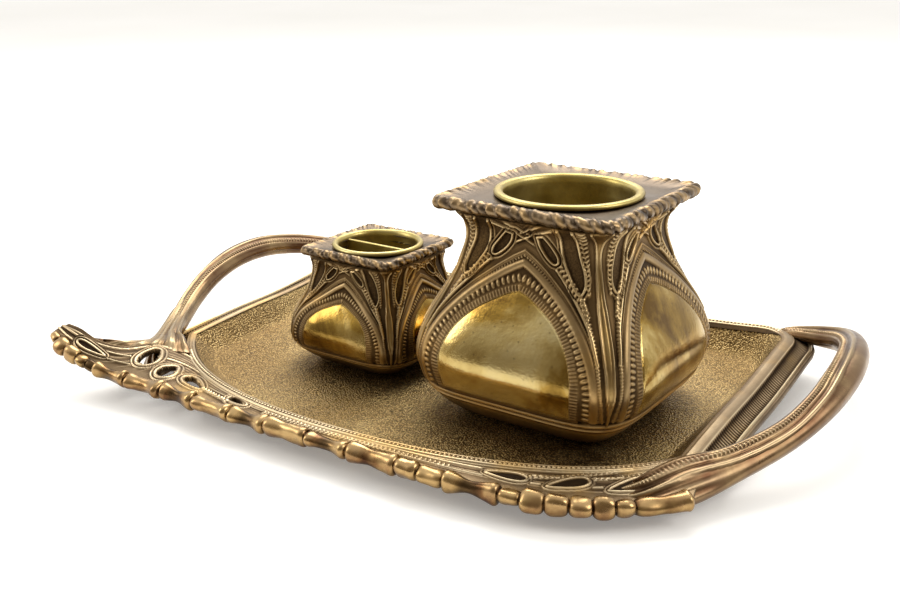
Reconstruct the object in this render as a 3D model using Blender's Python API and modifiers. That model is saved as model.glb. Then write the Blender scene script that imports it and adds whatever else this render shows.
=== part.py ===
"""Smoker's desk set in cast brass: a D-shaped tray with two loop handles and a pierced,
knuckled front rim, carrying a large and a small vase jar, each with a lift-out brass liner.

Lengths below are in millimetres and become metres in the meshes. +Z is up, the table is at
z = 0, X runs along the tray and the bowed front of the tray faces -Y.
"""
import math

import bmesh
import bpy
from mathutils import Matrix, Vector

MM = 0.001
GAP = 0.3                     # clearance between pieces that touch

CENTRE_SHIFT_Y = -5.24        # brings the middle of the whole footprint to the origin

# Tray
FLOOR_Z = 4.0                 # top of the tray floor
RIDGE_A = 111.0               # half-length of the curve that the front ridge follows
RIDGE_B = 72.5                # depth of that curve in front of its centre
RIDGE_POWER = 2.25
END_X = 101.0                 # inner edge of the flat bars at the two ends
TRAY_Y = 4.5                  # centre of the ridge curve
REAR_Y = 83.5                 # rear ridge
REAR_CORNER = 14.0            # radius of the rear corners
FLANGE = 8.5                  # shelf outside each end bar, as far as the finger opening
FRONT_RIDGE_Z = 10.0
END_RIDGE_Z = 12.5
CORNER_RISE = 3.0             # extra height of the ridge at the rear corners
RECESS_Z = 1.4                # hollow under the tray

# Jars: centre on the tray, turn about the clamping screw, half-widths up the body
JAR_TURN = math.radians(-2.5)
LARGE = {
    "name": "large", "at": (44.2, 2.8), "height": 75.0, "wall": 3.0, "segments": 32,
    "body": [(0.0, 27.0), (1.2, 29.5), (5.0, 34.0), (9.0, 37.2), (14.0, 40.2), (21.0, 42.2),
             (28.0, 41.0), (35.0, 37.9), (43.0, 33.4), (51.0, 29.5), (60.0, 27.0), (66.0, 27.4),
             (70.0, 30.2)],
    "plate": 33.2, "plate_edge": 4.4, "dish": 2.0, "arch": (24.3, 13.0, 48.0),
    "liner": {"lip": 25.0, "cup": 22.6, "depth": 54.0},
}
SMALL = {
    "name": "small", "at": (-36.0, 5.0), "height": 44.5, "wall": 2.4, "segments": 24,
    "body": [(0.0, 17.8), (1.2, 19.6), (5.0, 24.2), (9.5, 27.6), (14.0, 27.8), (19.0, 26.4),
             (24.0, 23.8), (29.0, 21.2), (35.0, 19.6), (38.5, 19.6), (40.8, 20.4)],
    "plate": 21.0, "plate_edge": 3.4, "dish": 1.4, "arch": (14.7, 9.0, 26.3),
    "liner": {"lip": 17.3, "cup": 15.8, "depth": 32.0},
}
CUP_WALL = 1.0
LIP_THICK = 1.8
PANEL_THICK = 1.6
PANEL_PROUD = 0.5
BASE_THICK = 2.0
SCREW_R = 2.0
SCREW_HEAD_R = 3.6
NUT_R = 6.5

# Front rim: centre of the knuckled bead from the tip of the horn to the right handle's foot
RIM_PATH = [(-131.0, -72.0, 18.5), (-122.0, -75.0, 15.5), (-110.0, -75.5, 12.0),
            (-97.0, -74.5, 9.6), (-78.0, -73.0, 8.6), (-52.0, -74.0, 8.2), (-20.0, -74.8, 8.2),
            (20.0, -75.5, 8.2), (52.0, -75.0, 7.8), (74.0, -72.0, 7.6), (90.0, -64.5, 7.0),
            (102.0, -55.5, 6.8), (111.0, -46.0, 7.4)]
RIM_R = 2.4
HORN_EDGE = [(-127.0, -67.5, 21.0), (-121.0, -67.0, 20.0), (-113.0, -66.0, 16.5),
             (-105.0, -61.5, 14.2), (-99.0, -53.0, 13.8)]
APRON_END_X = 102.0           # where the web stops at the right handle
WEB = 2.4                     # thickness of the web between the ridge and the rim
# Pierced drops in the web: centre, length, width, heading of the point in degrees
OPENINGS = [((-93.5, -57.7), 10.0, 5.5, 83.0), ((-80.0, -63.3), 7.5, 5.0, 69.0),
            ((-66.5, -64.9), 9.0, 4.0, -27.0), ((-43.0, -68.2), 9.0, 2.4, -12.0)]

# Handles, right side: x, y, z, half-width, half-thickness, tilt in degrees
HANDLE = [(97.0, -55.1, 7.5, 6.6, 2.4, -40.0), (105.5, -41.3, 9.1, 7.2, 3.0, -40.0),
          (114.7, -25.8, 10.7, 5.5, 3.4, -38.0), (124.1, -7.6, 14.3, 4.8, 3.7, -30.0),
          (129.7, 9.5, 19.0, 5.1, 3.9, -16.0), (131.7, 26.8, 22.8, 5.6, 4.0, 0.0),
          (130.8, 43.2, 23.7, 5.4, 4.1, 10.0), (127.6, 58.4, 22.0, 4.9, 4.0, 18.0),
          (121.6, 71.9, 19.1, 4.9, 3.8, 18.0), (112.3, 80.5, 16.1, 5.2, 3.2, 10.0),
          (102.0, 84.0, 14.4, 4.4, 2.6, 0.0)]

BRASS_DARK = (0.36, 0.27, 0.15, 1.0)
BRASS_GOLD = (0.62, 0.47, 0.20, 1.0)
BRASS_OLIVE = (0.50, 0.43, 0.20, 1.0)
COPPER_BROWN = (0.30, 0.19, 0.12, 1.0)
STEEL = (0.55, 0.53, 0.50, 1.0)


# ---------------------------------------------------------------- scene and materials
def clear_scene():
    for obj in list(bpy.data.objects):
        bpy.data.objects.remove(obj, do_unlink=True)


def new_collection(name):
    group = bpy.data.collections.new(name)
    bpy.context.scene.collection.children.link(group)
    return group


def material(name, color, roughness, metallic=1.0):
    mat = bpy.data.materials.new(name)
    mat.use_nodes = True
    shader = mat.node_tree.nodes["Principled BSDF"]
    shader.inputs["Base Color"].default_value = color
    shader.inputs["Roughness"].default_value = roughness
    shader.inputs["Metallic"].default_value = metallic
    return mat


def add_object(name, bm, mat, group, angle=40.0):
    """Turns a bmesh in millimetres into a smooth-shaded object in metres."""
    bmesh.ops.recalc_face_normals(bm, faces=bm.faces)
    bmesh.ops.scale(bm, vec=(MM, MM, MM), verts=bm.verts)
    mesh = bpy.data.meshes.new(name)
    bm.to_mesh(mesh)
    bm.free()
    mesh.shade_smooth()
    mesh.set_sharp_from_angle(angle=math.radians(angle))
    obj = bpy.data.objects.new(name, mesh)
    if mat:
        mesh.materials.append(mat)
    group.objects.link(obj)
    return obj


def as_cutter(obj):
    obj.hide_render = True
    obj.display_type = "WIRE"
    return obj


def cut(obj, cutter, operation="DIFFERENCE"):
    boolean = obj.modifiers.new("cut_" + cutter.name, "BOOLEAN")
    boolean.operation = operation
    boolean.solver = "EXACT"
    boolean.object = cutter


# ---------------------------------------------------------------- curves and lofts
def smoothstep(value):
    value = min(1.0, max(0.0, value))
    return value * value * (3.0 - 2.0 * value)


def spline(points, steps):
    """Catmull-Rom curve through the points, which may carry any number of values."""
    padded = [points[0]] + list(points) + [points[-1]]
    curve = []
    for i in range(1, len(padded) - 2):
        a, b, c, d = padded[i - 1:i + 3]
        for k in range(steps):
            t = k / steps
            curve.append(tuple(
                0.5 * (2 * q + (r - p) * t + (2 * p - 5 * q + 4 * r - s) * t * t
                       + (3 * q - p - 3 * r + s) * t ** 3)
                for p, q, r, s in zip(a, b, c, d)))
    curve.append(tuple(points[-1]))
    return curve


def superellipse(half, power, count, z):
    ring = []
    for i in range(count):
        angle = 2 * math.pi * i / count
        c, s = math.cos(angle), math.sin(angle)
        scale = half * (abs(c) ** power + abs(s) ** power) ** (-1.0 / power)
        ring.append((scale * c, scale * s, z))
    return ring


def loft(rings, closed=False):
    """Skins rings of equal length; closed joins the last ring to the first, else both are capped."""
    bm = bmesh.new()
    rows = [[bm.verts.new(p) for p in ring] for ring in rings]
    pairs = list(zip(rows, rows[1:]))
    if closed:
        pairs.append((rows[-1], rows[0]))
    for low, high in pairs:
        count = len(low)
        for i in range(count):
            j = (i + 1) % count
            bm.faces.new((low[i], low[j], high[j], high[i]))
    if not closed:
        bm.faces.new(rows[0][::-1])
        bm.faces.new(rows[-1])
    return bm


def turn_and_place(obj, at, z=0.0, turn=JAR_TURN):
    obj.location = (at[0] * MM, at[1] * MM, z * MM)
    obj.rotation_euler = (0.0, 0.0, turn)
    return obj


def turned(name, profile, steps, mat, group):
    """A body of revolution from (radius, z) points that start and end on the axis."""
    mesh = bpy.data.meshes.new(name)
    points = [(r * MM, 0.0, z * MM) for r, z in profile]
    mesh.from_pydata(points, [(i, i + 1) for i in range(len(points) - 1)], [])
    obj = bpy.data.objects.new(name, mesh)
    if mat:
        mesh.materials.append(mat)
    group.objects.link(obj)
    screw = obj.modifiers.new("turn", "SCREW")
    screw.steps = steps
    screw.render_steps = steps
    screw.use_merge_vertices = True
    screw.merge_threshold = 0.00001
    screw.use_smooth_shade = True
    return obj


# ---------------------------------------------------------------- tray
def ridge_outline():
    """Plan of the tray's ridge, counter-clockwise from the right front corner."""
    corner = RIDGE_B * (1 - (END_X / RIDGE_A) ** RIDGE_POWER) ** (1 / RIDGE_POWER)
    front_y = TRAY_Y - corner
    points = []
    side = 5
    for i in range(side):
        points.append((END_X, front_y + (REAR_Y - REAR_CORNER - front_y) * i / side))
    corner_steps = 5
    for i in range(corner_steps):
        a = math.radians(90 * i / corner_steps)
        points.append((END_X - REAR_CORNER * (1 - math.cos(a)),
                       REAR_Y - REAR_CORNER * (1 - math.sin(a))))
    rear = 6
    for i in range(rear + 1):
        points.append(((END_X - REAR_CORNER) * (1 - 2 * i / rear), REAR_Y))
    for x, y in points[side + corner_steps - 1:side - 1:-1]:
        points.append((-x, y))
    for x, y in points[side - 1::-1]:
        points.append((-x, y))
    front = 28
    for i in range(1, front):
        x = -END_X * math.cos(math.pi * i / front)
        y = RIDGE_B * (1 - (abs(x) / RIDGE_A) ** RIDGE_POWER) ** (1 / RIDGE_POWER)
        points.append((x, TRAY_Y - y))
    return points


def outward(points):
    """Unit normals of a counter-clockwise outline."""
    normals = []
    count = len(points)
    for i in range(count):
        ax, ay = points[i - 1]
        bx, by = points[(i + 1) % count]
        length = math.hypot(bx - ax, by - ay)
        normals.append(((by - ay) / length, (ax - bx) / length))
    return normals


def ridge_height(x, y):
    along = smoothstep((y + 60.0) / 70.0)
    rise = CORNER_RISE * smoothstep((y - 20.0) / 60.0) * (abs(x) / END_X) ** 3
    dip = smoothstep((y - 50.0) / 30.0) * (1 - (abs(x) / END_X) ** 2)
    return FRONT_RIDGE_Z + (END_RIDGE_Z - FRONT_RIDGE_Z) * along + rise - dip


def tray_ring(outline, normals, inset, out, height, flange=0.0):
    """One ring of the pan: inset shrinks the outline, out and flange push it outwards."""
    ring = []
    for (x, y), (nx, ny) in zip(outline, normals):
        push = out + flange * smoothstep(abs(nx) * 1.6 - 0.55)
        sx = 1 - inset / END_X
        sy = 1 - inset / RIDGE_B
        top = ridge_height(x, y)
        ring.append((x * sx + nx * push, TRAY_Y + (y - TRAY_Y) * sy + ny * push, height(top)))
    return ring


def build_pan(mat, group):
    outline = ridge_outline()
    normals = outward(outline)

    def ring(inset, out, height, flange=0.0):
        return tray_ring(outline, normals, inset, out, height, flange)

    rings = [
        ring(17.0, 0.0, lambda t: RECESS_Z),
        ring(16.0, 0.0, lambda t: 0.0),
        ring(10.0, 0.0, lambda t: 0.0),
        ring(7.5, 0.0, lambda t: 1.6),
        ring(1.0, 0.0, lambda t: t - 6.5),
        ring(0.0, 1.2, lambda t: t - 5.4, FLANGE),
        ring(0.0, 1.8, lambda t: t - 4.0, FLANGE),
        ring(0.0, 1.6, lambda t: t - 2.4, FLANGE),
        ring(0.0, 1.4, lambda t: t - 1.2, 2.6),
        ring(0.0, 0.8, lambda t: t, 1.8),
        ring(1.2, 0.0, lambda t: t),
        ring(3.4, 0.0, lambda t: FLOOR_Z + (t - FLOOR_Z) * 0.55),
        ring(6.0, 0.0, lambda t: FLOOR_Z + 0.9),
        ring(9.5, 0.0, lambda t: FLOOR_Z),
    ]
    return add_object("tray_pan", loft(rings), mat, group)


def outline_prism(name, out, group):
    """Upright block of the pan's full outline, used to trim what is brazed to it."""
    outline = ridge_outline()
    normals = outward(outline)
    rings = [tray_ring(outline, normals, 0.0, 1.8 + out, lambda t, z=z: z, FLANGE)
             for z in (-5.0, 60.0)]
    return as_cutter(add_object(name, loft(rings), None, group))


def side_block(name, mirror, keep_front, group):
    """Half-space that separates the apron from a handle at a front corner of the pan."""
    bm = bmesh.new()
    bmesh.ops.create_cube(bm, size=1.0)
    bmesh.ops.scale(bm, vec=(160.0, 120.0, 90.0), verts=bm.verts)
    shift = 60.0 - GAP / 2
    bmesh.ops.translate(bm, vec=(0.0, shift if keep_front else -shift, 20.0), verts=bm.verts)
    bmesh.ops.rotate(bm, matrix=Matrix.Rotation(math.radians(-48.0), 3, "Z"), verts=bm.verts)
    bmesh.ops.translate(bm, vec=(END_X - 2.0, -34.0, 0.0), verts=bm.verts)
    if mirror:
        bmesh.ops.scale(bm, vec=(-1.0, 1.0, 1.0), verts=bm.verts)
    return as_cutter(add_object(name, bm, None, group))


def apron_inner_edge(x):
    """Point under the front ridge that the web springs from."""
    reach = min(abs(x), APRON_END_X)
    depth = RIDGE_B * (1 - (reach / RIDGE_A) ** RIDGE_POWER) ** (1 / RIDGE_POWER)
    y = TRAY_Y - depth
    return (x, y + 4.0, ridge_height(x, y) - 1.8)


def build_apron(mat, group):
    rim = spline(RIM_PATH, 4)
    horn = spline(HORN_EDGE, 4)
    count = len(rim)
    horn_end = int(count * 0.30)
    rings = []
    for i, (x, y, z) in enumerate(rim):
        if i < horn_end:
            k = i / horn_end * (len(horn) - 1)
            low = min(int(k), len(horn) - 2)
            mix = k - low
            inner = tuple(a + (b - a) * mix for a, b in zip(horn[low], horn[low + 1]))
        else:
            start = horn[-1][0]
            share = (i - horn_end) / (count - 1 - horn_end)
            inner = apron_inner_edge(start + (APRON_END_X - start) * share)
            blend = smoothstep(share / 0.08)
            inner = tuple(a + (b - a) * blend for a, b in zip(horn[-1], inner))
        rings.append(web_section(Vector(inner), Vector((x, y, z)), RIM_R))
    return add_object("tray_apron", loft(rings), mat, group)


def web_section(inner, rim, radius):
    """Section across the apron: a thin web that ends in the round rim."""
    across = (rim - inner).normalized()
    up = Vector((0.0, 0.0, 1.0))
    normal = (up - across * up.dot(across)).normalized()
    half = WEB / 2
    points = [inner + normal * half, rim - across * (radius + 1.0) + normal * half]
    for k in range(7):
        angle = math.radians(135 - 45 * k)
        points.append(rim + (across * math.cos(angle) + normal * math.sin(angle)) * radius)
    points += [rim - across * (radius + 1.0) - normal * half, inner - normal * half]
    return [tuple(p) for p in points]


def teardrop(name, at, length, width, heading, group):
    """Upright cutter with a teardrop plan, its point along the heading."""
    ring = []
    count = 20
    for i in range(count):
        angle = 2 * math.pi * i / count
        along = 0.5 * length * math.cos(angle)
        side = 0.5 * width * math.sin(angle) * (1 - 0.45 * math.cos(angle))
        c, s = math.cos(heading), math.sin(heading)
        ring.append((at[0] + along * c - side * s, at[1] + along * s + side * c))
    rings = [[(x, y, z) for x, y in ring] for z in (-5.0, 40.0)]
    return as_cutter(add_object(name, loft(rings), None, group))


def handle_section(x, y, z, half_w, half_h, tilt, heading):
    """Rounded flat section square to the heading, tilted about it."""
    side = Vector((heading.y, -heading.x, 0.0)).normalized()
    up = side.cross(heading).normalized()
    c, s = math.cos(math.radians(tilt)), math.sin(math.radians(tilt))
    wide = side * c + up * s
    thick = up * c - side * s
    count = 12
    points = []
    for i in range(count):
        angle = 2 * math.pi * i / count
        ca, sa = math.cos(angle), math.sin(angle)
        size = (abs(ca) ** 2.6 + abs(sa) ** 2.6) ** (-1 / 2.6)
        points.append(tuple(Vector((x, y, z)) + wide * (half_w * size * ca)
                            + thick * (half_h * size * sa)))
    return points


def build_handle(name, mirror, mat, group):
    stations = spline(HANDLE, 3)
    rings = []
    for i, (x, y, z, half_w, half_h, tilt) in enumerate(stations):
        ahead = Vector(stations[min(i + 1, len(stations) - 1)][:3])
        behind = Vector(stations[max(i - 1, 0)][:3])
        rings.append(handle_section(x, y, z, half_w, half_h, tilt, (ahead - behind).normalized()))
    bm = loft(rings)
    if mirror:
        bmesh.ops.scale(bm, vec=(-1.0, 1.0, 1.0), verts=bm.verts)
    return add_object(name, bm, mat, group)


def build_tray(group, cutters, mats):
    pan = build_pan(mats["gold"], group)
    apron = build_apron(mats["dark"], group)
    right = build_handle("tray_handle_right", False, mats["brown"], group)
    left = build_handle("tray_handle_left", True, mats["brown"], group)
    cut(apron, side_block("trim_apron_right", False, True, cutters))
    cut(apron, side_block("trim_apron_left", True, True, cutters))
    cut(right, side_block("trim_handle_right", False, False, cutters))
    cut(left, side_block("trim_handle_left", True, False, cutters))
    trim = outline_prism("trim_outline", GAP, cutters)
    for piece in (apron, right, left):
        cut(piece, trim)
    for i, (at, length, width, heading) in enumerate(OPENINGS):
        name = "pierce_%d" % (i + 1)
        cut(apron, teardrop(name, at, length, width, math.radians(heading), cutters))
    return pan


# ---------------------------------------------------------------- jars
def body_power(z, height):
    """Squarer at the neck and the foot, rounder at the belly."""
    belly = smoothstep(z / (0.25 * height)) * smoothstep((0.8 * height - z) / (0.5 * height))
    return 6.0 - 1.6 * belly


def body_ring(jar, half, z, shrink=0.0):
    return superellipse(half - shrink, body_power(z, jar["height"]), jar["segments"], z)


def build_shell(jar, mat, group):
    """Thin wall from the foot to the flared neck, open at both ends."""
    wall = jar["wall"]
    outer = [body_ring(jar, half, z) for z, half in jar["body"]]
    inner = [body_ring(jar, half, z, wall) for z, half in reversed(jar["body"])]
    shell = add_object(jar["name"] + "_jar_shell", loft(outer + inner, closed=True), mat, group)
    return turn_and_place(shell, jar["at"], FLOOR_Z + GAP)


def arch_half_width(jar, z):
    """Half-width of the panel at a height: a pointed arch on a flat sill."""
    half, sill, apex = jar["arch"]
    share = (z - sill) / (apex - sill)
    return half * (1 - share ** 3) ** 0.75


def arch_outline(jar, grow):
    half, sill, apex = jar["arch"]
    side = [(half + grow, sill - grow)]
    for share in (0.15, 0.3, 0.45, 0.6, 0.73, 0.84, 0.92, 0.97):
        z = sill + (apex - sill) * share
        side.append((arch_half_width(jar, z) + grow, z))
    return side + [(0.0, apex + grow)] + [(-x, z) for x, z in reversed(side)]


def arch_prism(name, jar, side, grow, group):
    """Prism of the panel's outline, reaching outwards through one face of the jar."""
    outline = arch_outline(jar, grow)
    reach = jar["body"][0][1] * 0.45
    far = jar["height"]
    rings = [[(x, y, z) for x, z in outline] for y in (-reach, -far)]
    bm = loft(rings)
    bmesh.ops.rotate(bm, matrix=Matrix.Rotation(side * math.pi / 2, 3, "Z"), verts=bm.verts)
    prism = as_cutter(add_object(name, bm, None, group))
    return turn_and_place(prism, jar["at"], FLOOR_Z + GAP)


def build_panels(jar, shell, mats, group, cutters):
    """Four slightly crowned plates let into windows in the shell."""
    sides = ("front", "right", "back", "left")
    for side, side_name in enumerate(sides):
        window = arch_prism("%s_window_%s" % (jar["name"], side_name), jar, side, 0.0, cutters)
        cut(shell, window)
        outer = [body_ring(jar, half, z, -PANEL_PROUD) for z, half in jar["body"]]
        inner = [body_ring(jar, half, z, PANEL_THICK - PANEL_PROUD)
                 for z, half in reversed(jar["body"])]
        name = "%s_jar_panel_%s" % (jar["name"], side_name)
        panel = add_object(name, loft(outer + inner, closed=True), mats["gold"], group)
        turn_and_place(panel, jar["at"], FLOOR_Z + GAP)
        keep = arch_prism("%s_keep_%s" % (jar["name"], side_name), jar, side, -GAP, cutters)
        cut(panel, keep, "INTERSECT")


def build_base(jar, mat, group):
    """Plate that closes the foot and takes the clamping screw."""
    foot = jar["body"][0][1] - jar["wall"] - GAP
    height = jar["height"]
    segments = jar["segments"]
    hole = SCREW_R + GAP
    bottom = 0.2
    rings = [superellipse(foot - 0.8, 6.0, segments, bottom),
             superellipse(foot - 0.8, 6.0, segments, bottom + BASE_THICK),
             superellipse(hole, 2.0, segments, bottom + BASE_THICK),
             superellipse(hole, 2.0, segments, bottom)]
    name = jar["name"] + "_jar_base"
    base = add_object(name, loft(rings, closed=True), mat, group)
    return turn_and_place(base, jar["at"], FLOOR_Z + GAP)


def build_plate(jar, mat, group):
    """Square dished top plate with a rounded edge and a round hole for the liner."""
    half, edge, top = jar["plate"], jar["plate_edge"], jar["height"]
    segments = jar["segments"]
    hole = jar["liner"]["cup"] + 0.6
    low = top - edge
    profile = [(half - 2.4, 18.0, low), (half - 0.7, 18.0, low + 0.5), (half, 18.0, top - 2.2),
               (half - 0.4, 18.0, top - 0.7), (half - 1.4, 18.0, top),
               (half - 2.6, 16.0, top - 0.2), (half - 4.0, 10.0, top - jar["dish"] * 0.6),
               (hole + 2.6, 2.0, top - jar["dish"]), (hole, 2.0, top - jar["dish"] - 0.1),
               (hole, 2.0, low)]
    rings = [superellipse(size, power, segments, z) for size, power, z in profile]
    plate = add_object(jar["name"] + "_jar_plate", loft(rings, closed=True), mat, group)
    return turn_and_place(plate, jar["at"], FLOOR_Z + 2 * GAP)


def build_liner(jar, mat, group):
    """Spun cup with a rolled lip that rests on the dished plate."""
    liner = jar["liner"]
    cup, lip, depth = liner["cup"], liner["lip"], liner["depth"]
    inside = cup - CUP_WALL
    top = LIP_THICK
    corner = 4.0
    profile = [(0.0, top - depth + CUP_WALL)]
    for k in range(4):
        a = math.radians(90 * k / 3)
        profile.append((inside - corner * (1 - math.sin(a)),
                        top - depth + CUP_WALL + corner * (1 - math.cos(a))))
    profile += [(inside, top - 1.2), (inside + 0.5, top - 0.3), (inside + 1.2, top),
                (lip - 0.7, top), (lip - 0.1, top * 0.6), (lip - 0.3, 0.2), (lip - 1.0, 0.0),
                (cup, 0.0)]
    for k in range(4):
        a = math.radians(90 * k / 3)
        profile.append((cup - (corner + CUP_WALL) * (1 - math.cos(a)),
                        top - depth + (corner + CUP_WALL) * (1 - math.sin(a))))
    profile.append((0.0, top - depth))
    name = jar["name"] + "_liner"
    cup_obj = turned(name, profile, jar["segments"], mat, group)
    rest = FLOOR_Z + 3 * GAP + jar["height"] - jar["dish"]
    return turn_and_place(cup_obj, jar["at"], rest)


def build_screw(jar, mat, group):
    """Countersunk screw from under the tray through the floor and the jar's base."""
    tip = FLOOR_Z + BASE_THICK + 5.0
    under = RECESS_Z + 0.1
    profile = [(0.0, tip), (SCREW_R - 0.6, tip), (SCREW_R, tip - 0.7), (SCREW_R, under + 1.9),
               (SCREW_HEAD_R, under + 0.3), (SCREW_HEAD_R, under), (0.0, under)]
    screw = turned(jar["name"] + "_jar_screw", profile, 20, mat, group)
    return turn_and_place(screw, jar["at"])


def build_nut(jar, mat, group):
    """Round nut that draws the jar's base down on the tray."""
    bottom = FLOOR_Z + BASE_THICK + 3 * GAP
    bore = SCREW_R + GAP
    rings = [superellipse(size, 2.0, 20, z) for size, z in
             ((bore, bottom), (NUT_R - 0.4, bottom), (NUT_R, bottom + 0.4),
              (NUT_R, bottom + 1.8), (NUT_R - 0.4, bottom + 2.2), (bore, bottom + 2.2))]
    nut = add_object(jar["name"] + "_jar_nut", loft(rings, closed=True), mat, group)
    return turn_and_place(nut, jar["at"])


def screw_hole(jar, pan, cutters):
    """Countersunk hole in the tray floor."""
    profile = [(0.0, 12.0), (SCREW_R + GAP, 12.0), (SCREW_R + GAP, RECESS_Z + 2.2),
               (SCREW_HEAD_R + GAP, RECESS_Z + 0.7), (SCREW_HEAD_R + GAP, -3.0), (0.0, -3.0)]
    hole = as_cutter(turned(jar["name"] + "_screw_hole", profile, 24, None, cutters))
    turn_and_place(hole, jar["at"])
    cut(pan, hole)


def build_divider(mat, group):
    """Thin upright strip across the mouth of the small liner."""
    inside = SMALL["liner"]["cup"] - CUP_WALL - GAP
    top = FLOOR_Z + 3 * GAP + SMALL["height"] - SMALL["dish"] + LIP_THICK - 1.5
    bm = bmesh.new()
    bmesh.ops.create_cube(bm, size=1.0)
    bmesh.ops.scale(bm, vec=(2 * inside - 0.2, 1.1, 9.0), verts=bm.verts)
    strip = add_object("small_liner_divider", bm, mat, group)
    turn_and_place(strip, SMALL["at"], top - 4.5)
    bevel = strip.modifiers.new("soft_edges", "BEVEL")
    bevel.width = 0.3 * MM
    bevel.segments = 2
    return strip


def centre_on_footprint(groups):
    for group in groups:
        for obj in group.objects:
            obj.location.y += CENTRE_SHIFT_Y * MM


def build_jar(jar, pan, group, cutters, mats):
    shell = build_shell(jar, mats["dark"], group)
    build_panels(jar, shell, mats, group, cutters)
    build_base(jar, mats["dark"], group)
    build_plate(jar, mats["dark"], group)
    build_liner(jar, mats["olive"], group)
    build_screw(jar, mats["steel"], group)
    build_nut(jar, mats["steel"], group)
    screw_hole(jar, pan, cutters)


def main():
    clear_scene()
    group = new_collection("smokers_desk_set")
    cutters = new_collection("cutters")
    mats = {
        "dark": material("patinated_brass", BRASS_DARK, 0.45),
        "gold": material("polished_brass", BRASS_GOLD, 0.28),
        "olive": material("liner_brass", BRASS_OLIVE, 0.35),
        "brown": material("brown_patina", COPPER_BROWN, 0.35),
        "steel": material("screw_steel", STEEL, 0.4),
    }
    pan = build_tray(group, cutters, mats)
    for jar in (LARGE, SMALL):
        build_jar(jar, pan, group, cutters, mats)
    build_divider(mats["olive"], group)
    centre_on_footprint((group, cutters))


main()
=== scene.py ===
import math

import bmesh
import bpy
import numpy as np
from mathutils import Matrix, Vector


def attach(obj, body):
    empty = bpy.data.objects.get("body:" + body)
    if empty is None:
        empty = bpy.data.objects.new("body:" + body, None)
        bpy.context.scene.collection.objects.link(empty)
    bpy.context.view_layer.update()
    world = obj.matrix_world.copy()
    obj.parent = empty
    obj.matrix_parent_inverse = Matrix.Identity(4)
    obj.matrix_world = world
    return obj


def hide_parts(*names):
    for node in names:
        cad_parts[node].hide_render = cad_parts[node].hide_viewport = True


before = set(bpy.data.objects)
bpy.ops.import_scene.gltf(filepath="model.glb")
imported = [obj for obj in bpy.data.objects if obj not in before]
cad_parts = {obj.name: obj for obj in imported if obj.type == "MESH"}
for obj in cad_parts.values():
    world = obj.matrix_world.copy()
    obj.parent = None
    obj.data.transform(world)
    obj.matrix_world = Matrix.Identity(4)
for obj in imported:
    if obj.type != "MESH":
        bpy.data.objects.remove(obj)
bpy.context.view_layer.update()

MM = 0.001
BODY = "set_body"
DRAWING_ORIGIN = (0.0, -5.24, 0.0)     # brings the middle of the footprint to the frame's origin
CAP_UV = 0.02                          # radius of an end cap's patch in the UV square
RNG = np.random.default_rng(7)
UP = np.array([0, 0, 1.0])


# ---------------------------------------------------------------- small maths
def smooth(v):
    """Eases from 0 to 1."""
    v = np.clip(v, 0.0, 1.0)
    return v * v * (3.0 - 2.0 * v)


def wave(x, period):
    return np.cos(2 * math.pi * x / period)


def unit(v):
    return v / np.linalg.norm(v, axis=-1, keepdims=True)


def run_length(*coords):
    """Length along a line up to each of its points."""
    steps = np.sqrt(sum(np.diff(c) ** 2 for c in coords))
    return np.concatenate([[0], np.cumsum(steps)])


def spline(points, steps):
    """Smooth curve through the points, with the given steps between each two."""
    pts = np.array(points, float)
    pad = np.vstack([2 * pts[0] - pts[1], pts, 2 * pts[-1] - pts[-2]])
    t = (np.arange(steps) / steps)[:, None]
    out = []
    for i in range(1, len(pad) - 2):
        a, b, c, d = pad[i - 1:i + 3]
        out.append(0.5 * (2 * b + (c - a) * t + (2 * a - 5 * b + 4 * c - d) * t * t
                          + (3 * b - a - 3 * c + d) * t ** 3))
    return np.vstack(out + [pts[-1:]])


def resample(line, count):
    """The line with evenly spaced points, and its length."""
    at = run_length(*line.T)
    want = np.linspace(0, at[-1], count)
    return np.stack([np.interp(want, at, c) for c in line.T], 1), at[-1]


def near(x, y, line):
    """Distance to a polyline, the length along it, and which side (positive on its left)."""
    best = np.full(x.shape, 1e9)
    along = np.zeros(x.shape)
    side = np.ones(x.shape)
    run = 0.0
    for (ax, ay), (bx, by) in zip(line[:-1], line[1:]):
        ux, uy = bx - ax, by - ay
        size = math.hypot(ux, uy)
        if size < 1e-9:
            continue
        k = np.clip(((x - ax) * ux + (y - ay) * uy) / size ** 2, 0, 1)
        dx, dy = x - ax - k * ux, y - ay - k * uy
        d = dx * dx + dy * dy
        closer = d < best
        best = np.where(closer, d, best)
        along = np.where(closer, run + k * size, along)
        side = np.where(closer, np.sign(ux * dy - uy * dx), side)
        run += size
    return np.sqrt(best), along, side, run


def inside(x, y, loop):
    hit = np.zeros(x.shape, bool)
    for (ax, ay), (bx, by) in zip(loop, np.roll(loop, -1, axis=0)):
        cross = (ay > y) != (by > y)
        with np.errstate(divide="ignore", invalid="ignore"):
            hit ^= cross & (x < (bx - ax) * (y - ay) / (by - ay + 1e-12) + ax)
    return hit


def from_loop(x, y, loop):
    """Distance to a closed outline, and whether a point is inside it."""
    return near(x, y, np.vstack([loop, loop[:1]]))[0], inside(x, y, loop)


def signed(d, side):
    return np.where(side > 0, d, -d)


def tube(d, w, h):
    """Half-round bar of half width w and height h along the line where d is 0."""
    return h * np.sqrt(np.clip(1 - (d / w) ** 2, 0, 1))


def raised(h, *shapes):
    """The ground h with each of the shapes standing on it."""
    for shape in shapes:
        h = np.maximum(h, shape)
    return h


def bead_row(d, t, pitch, half_long, half_wide, h):
    u = ((t / pitch) % 1 - 0.5) * pitch
    return h * np.sqrt(np.clip(1 - (u / half_long) ** 2 - (d / half_wide) ** 2, 0, 1))


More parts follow.
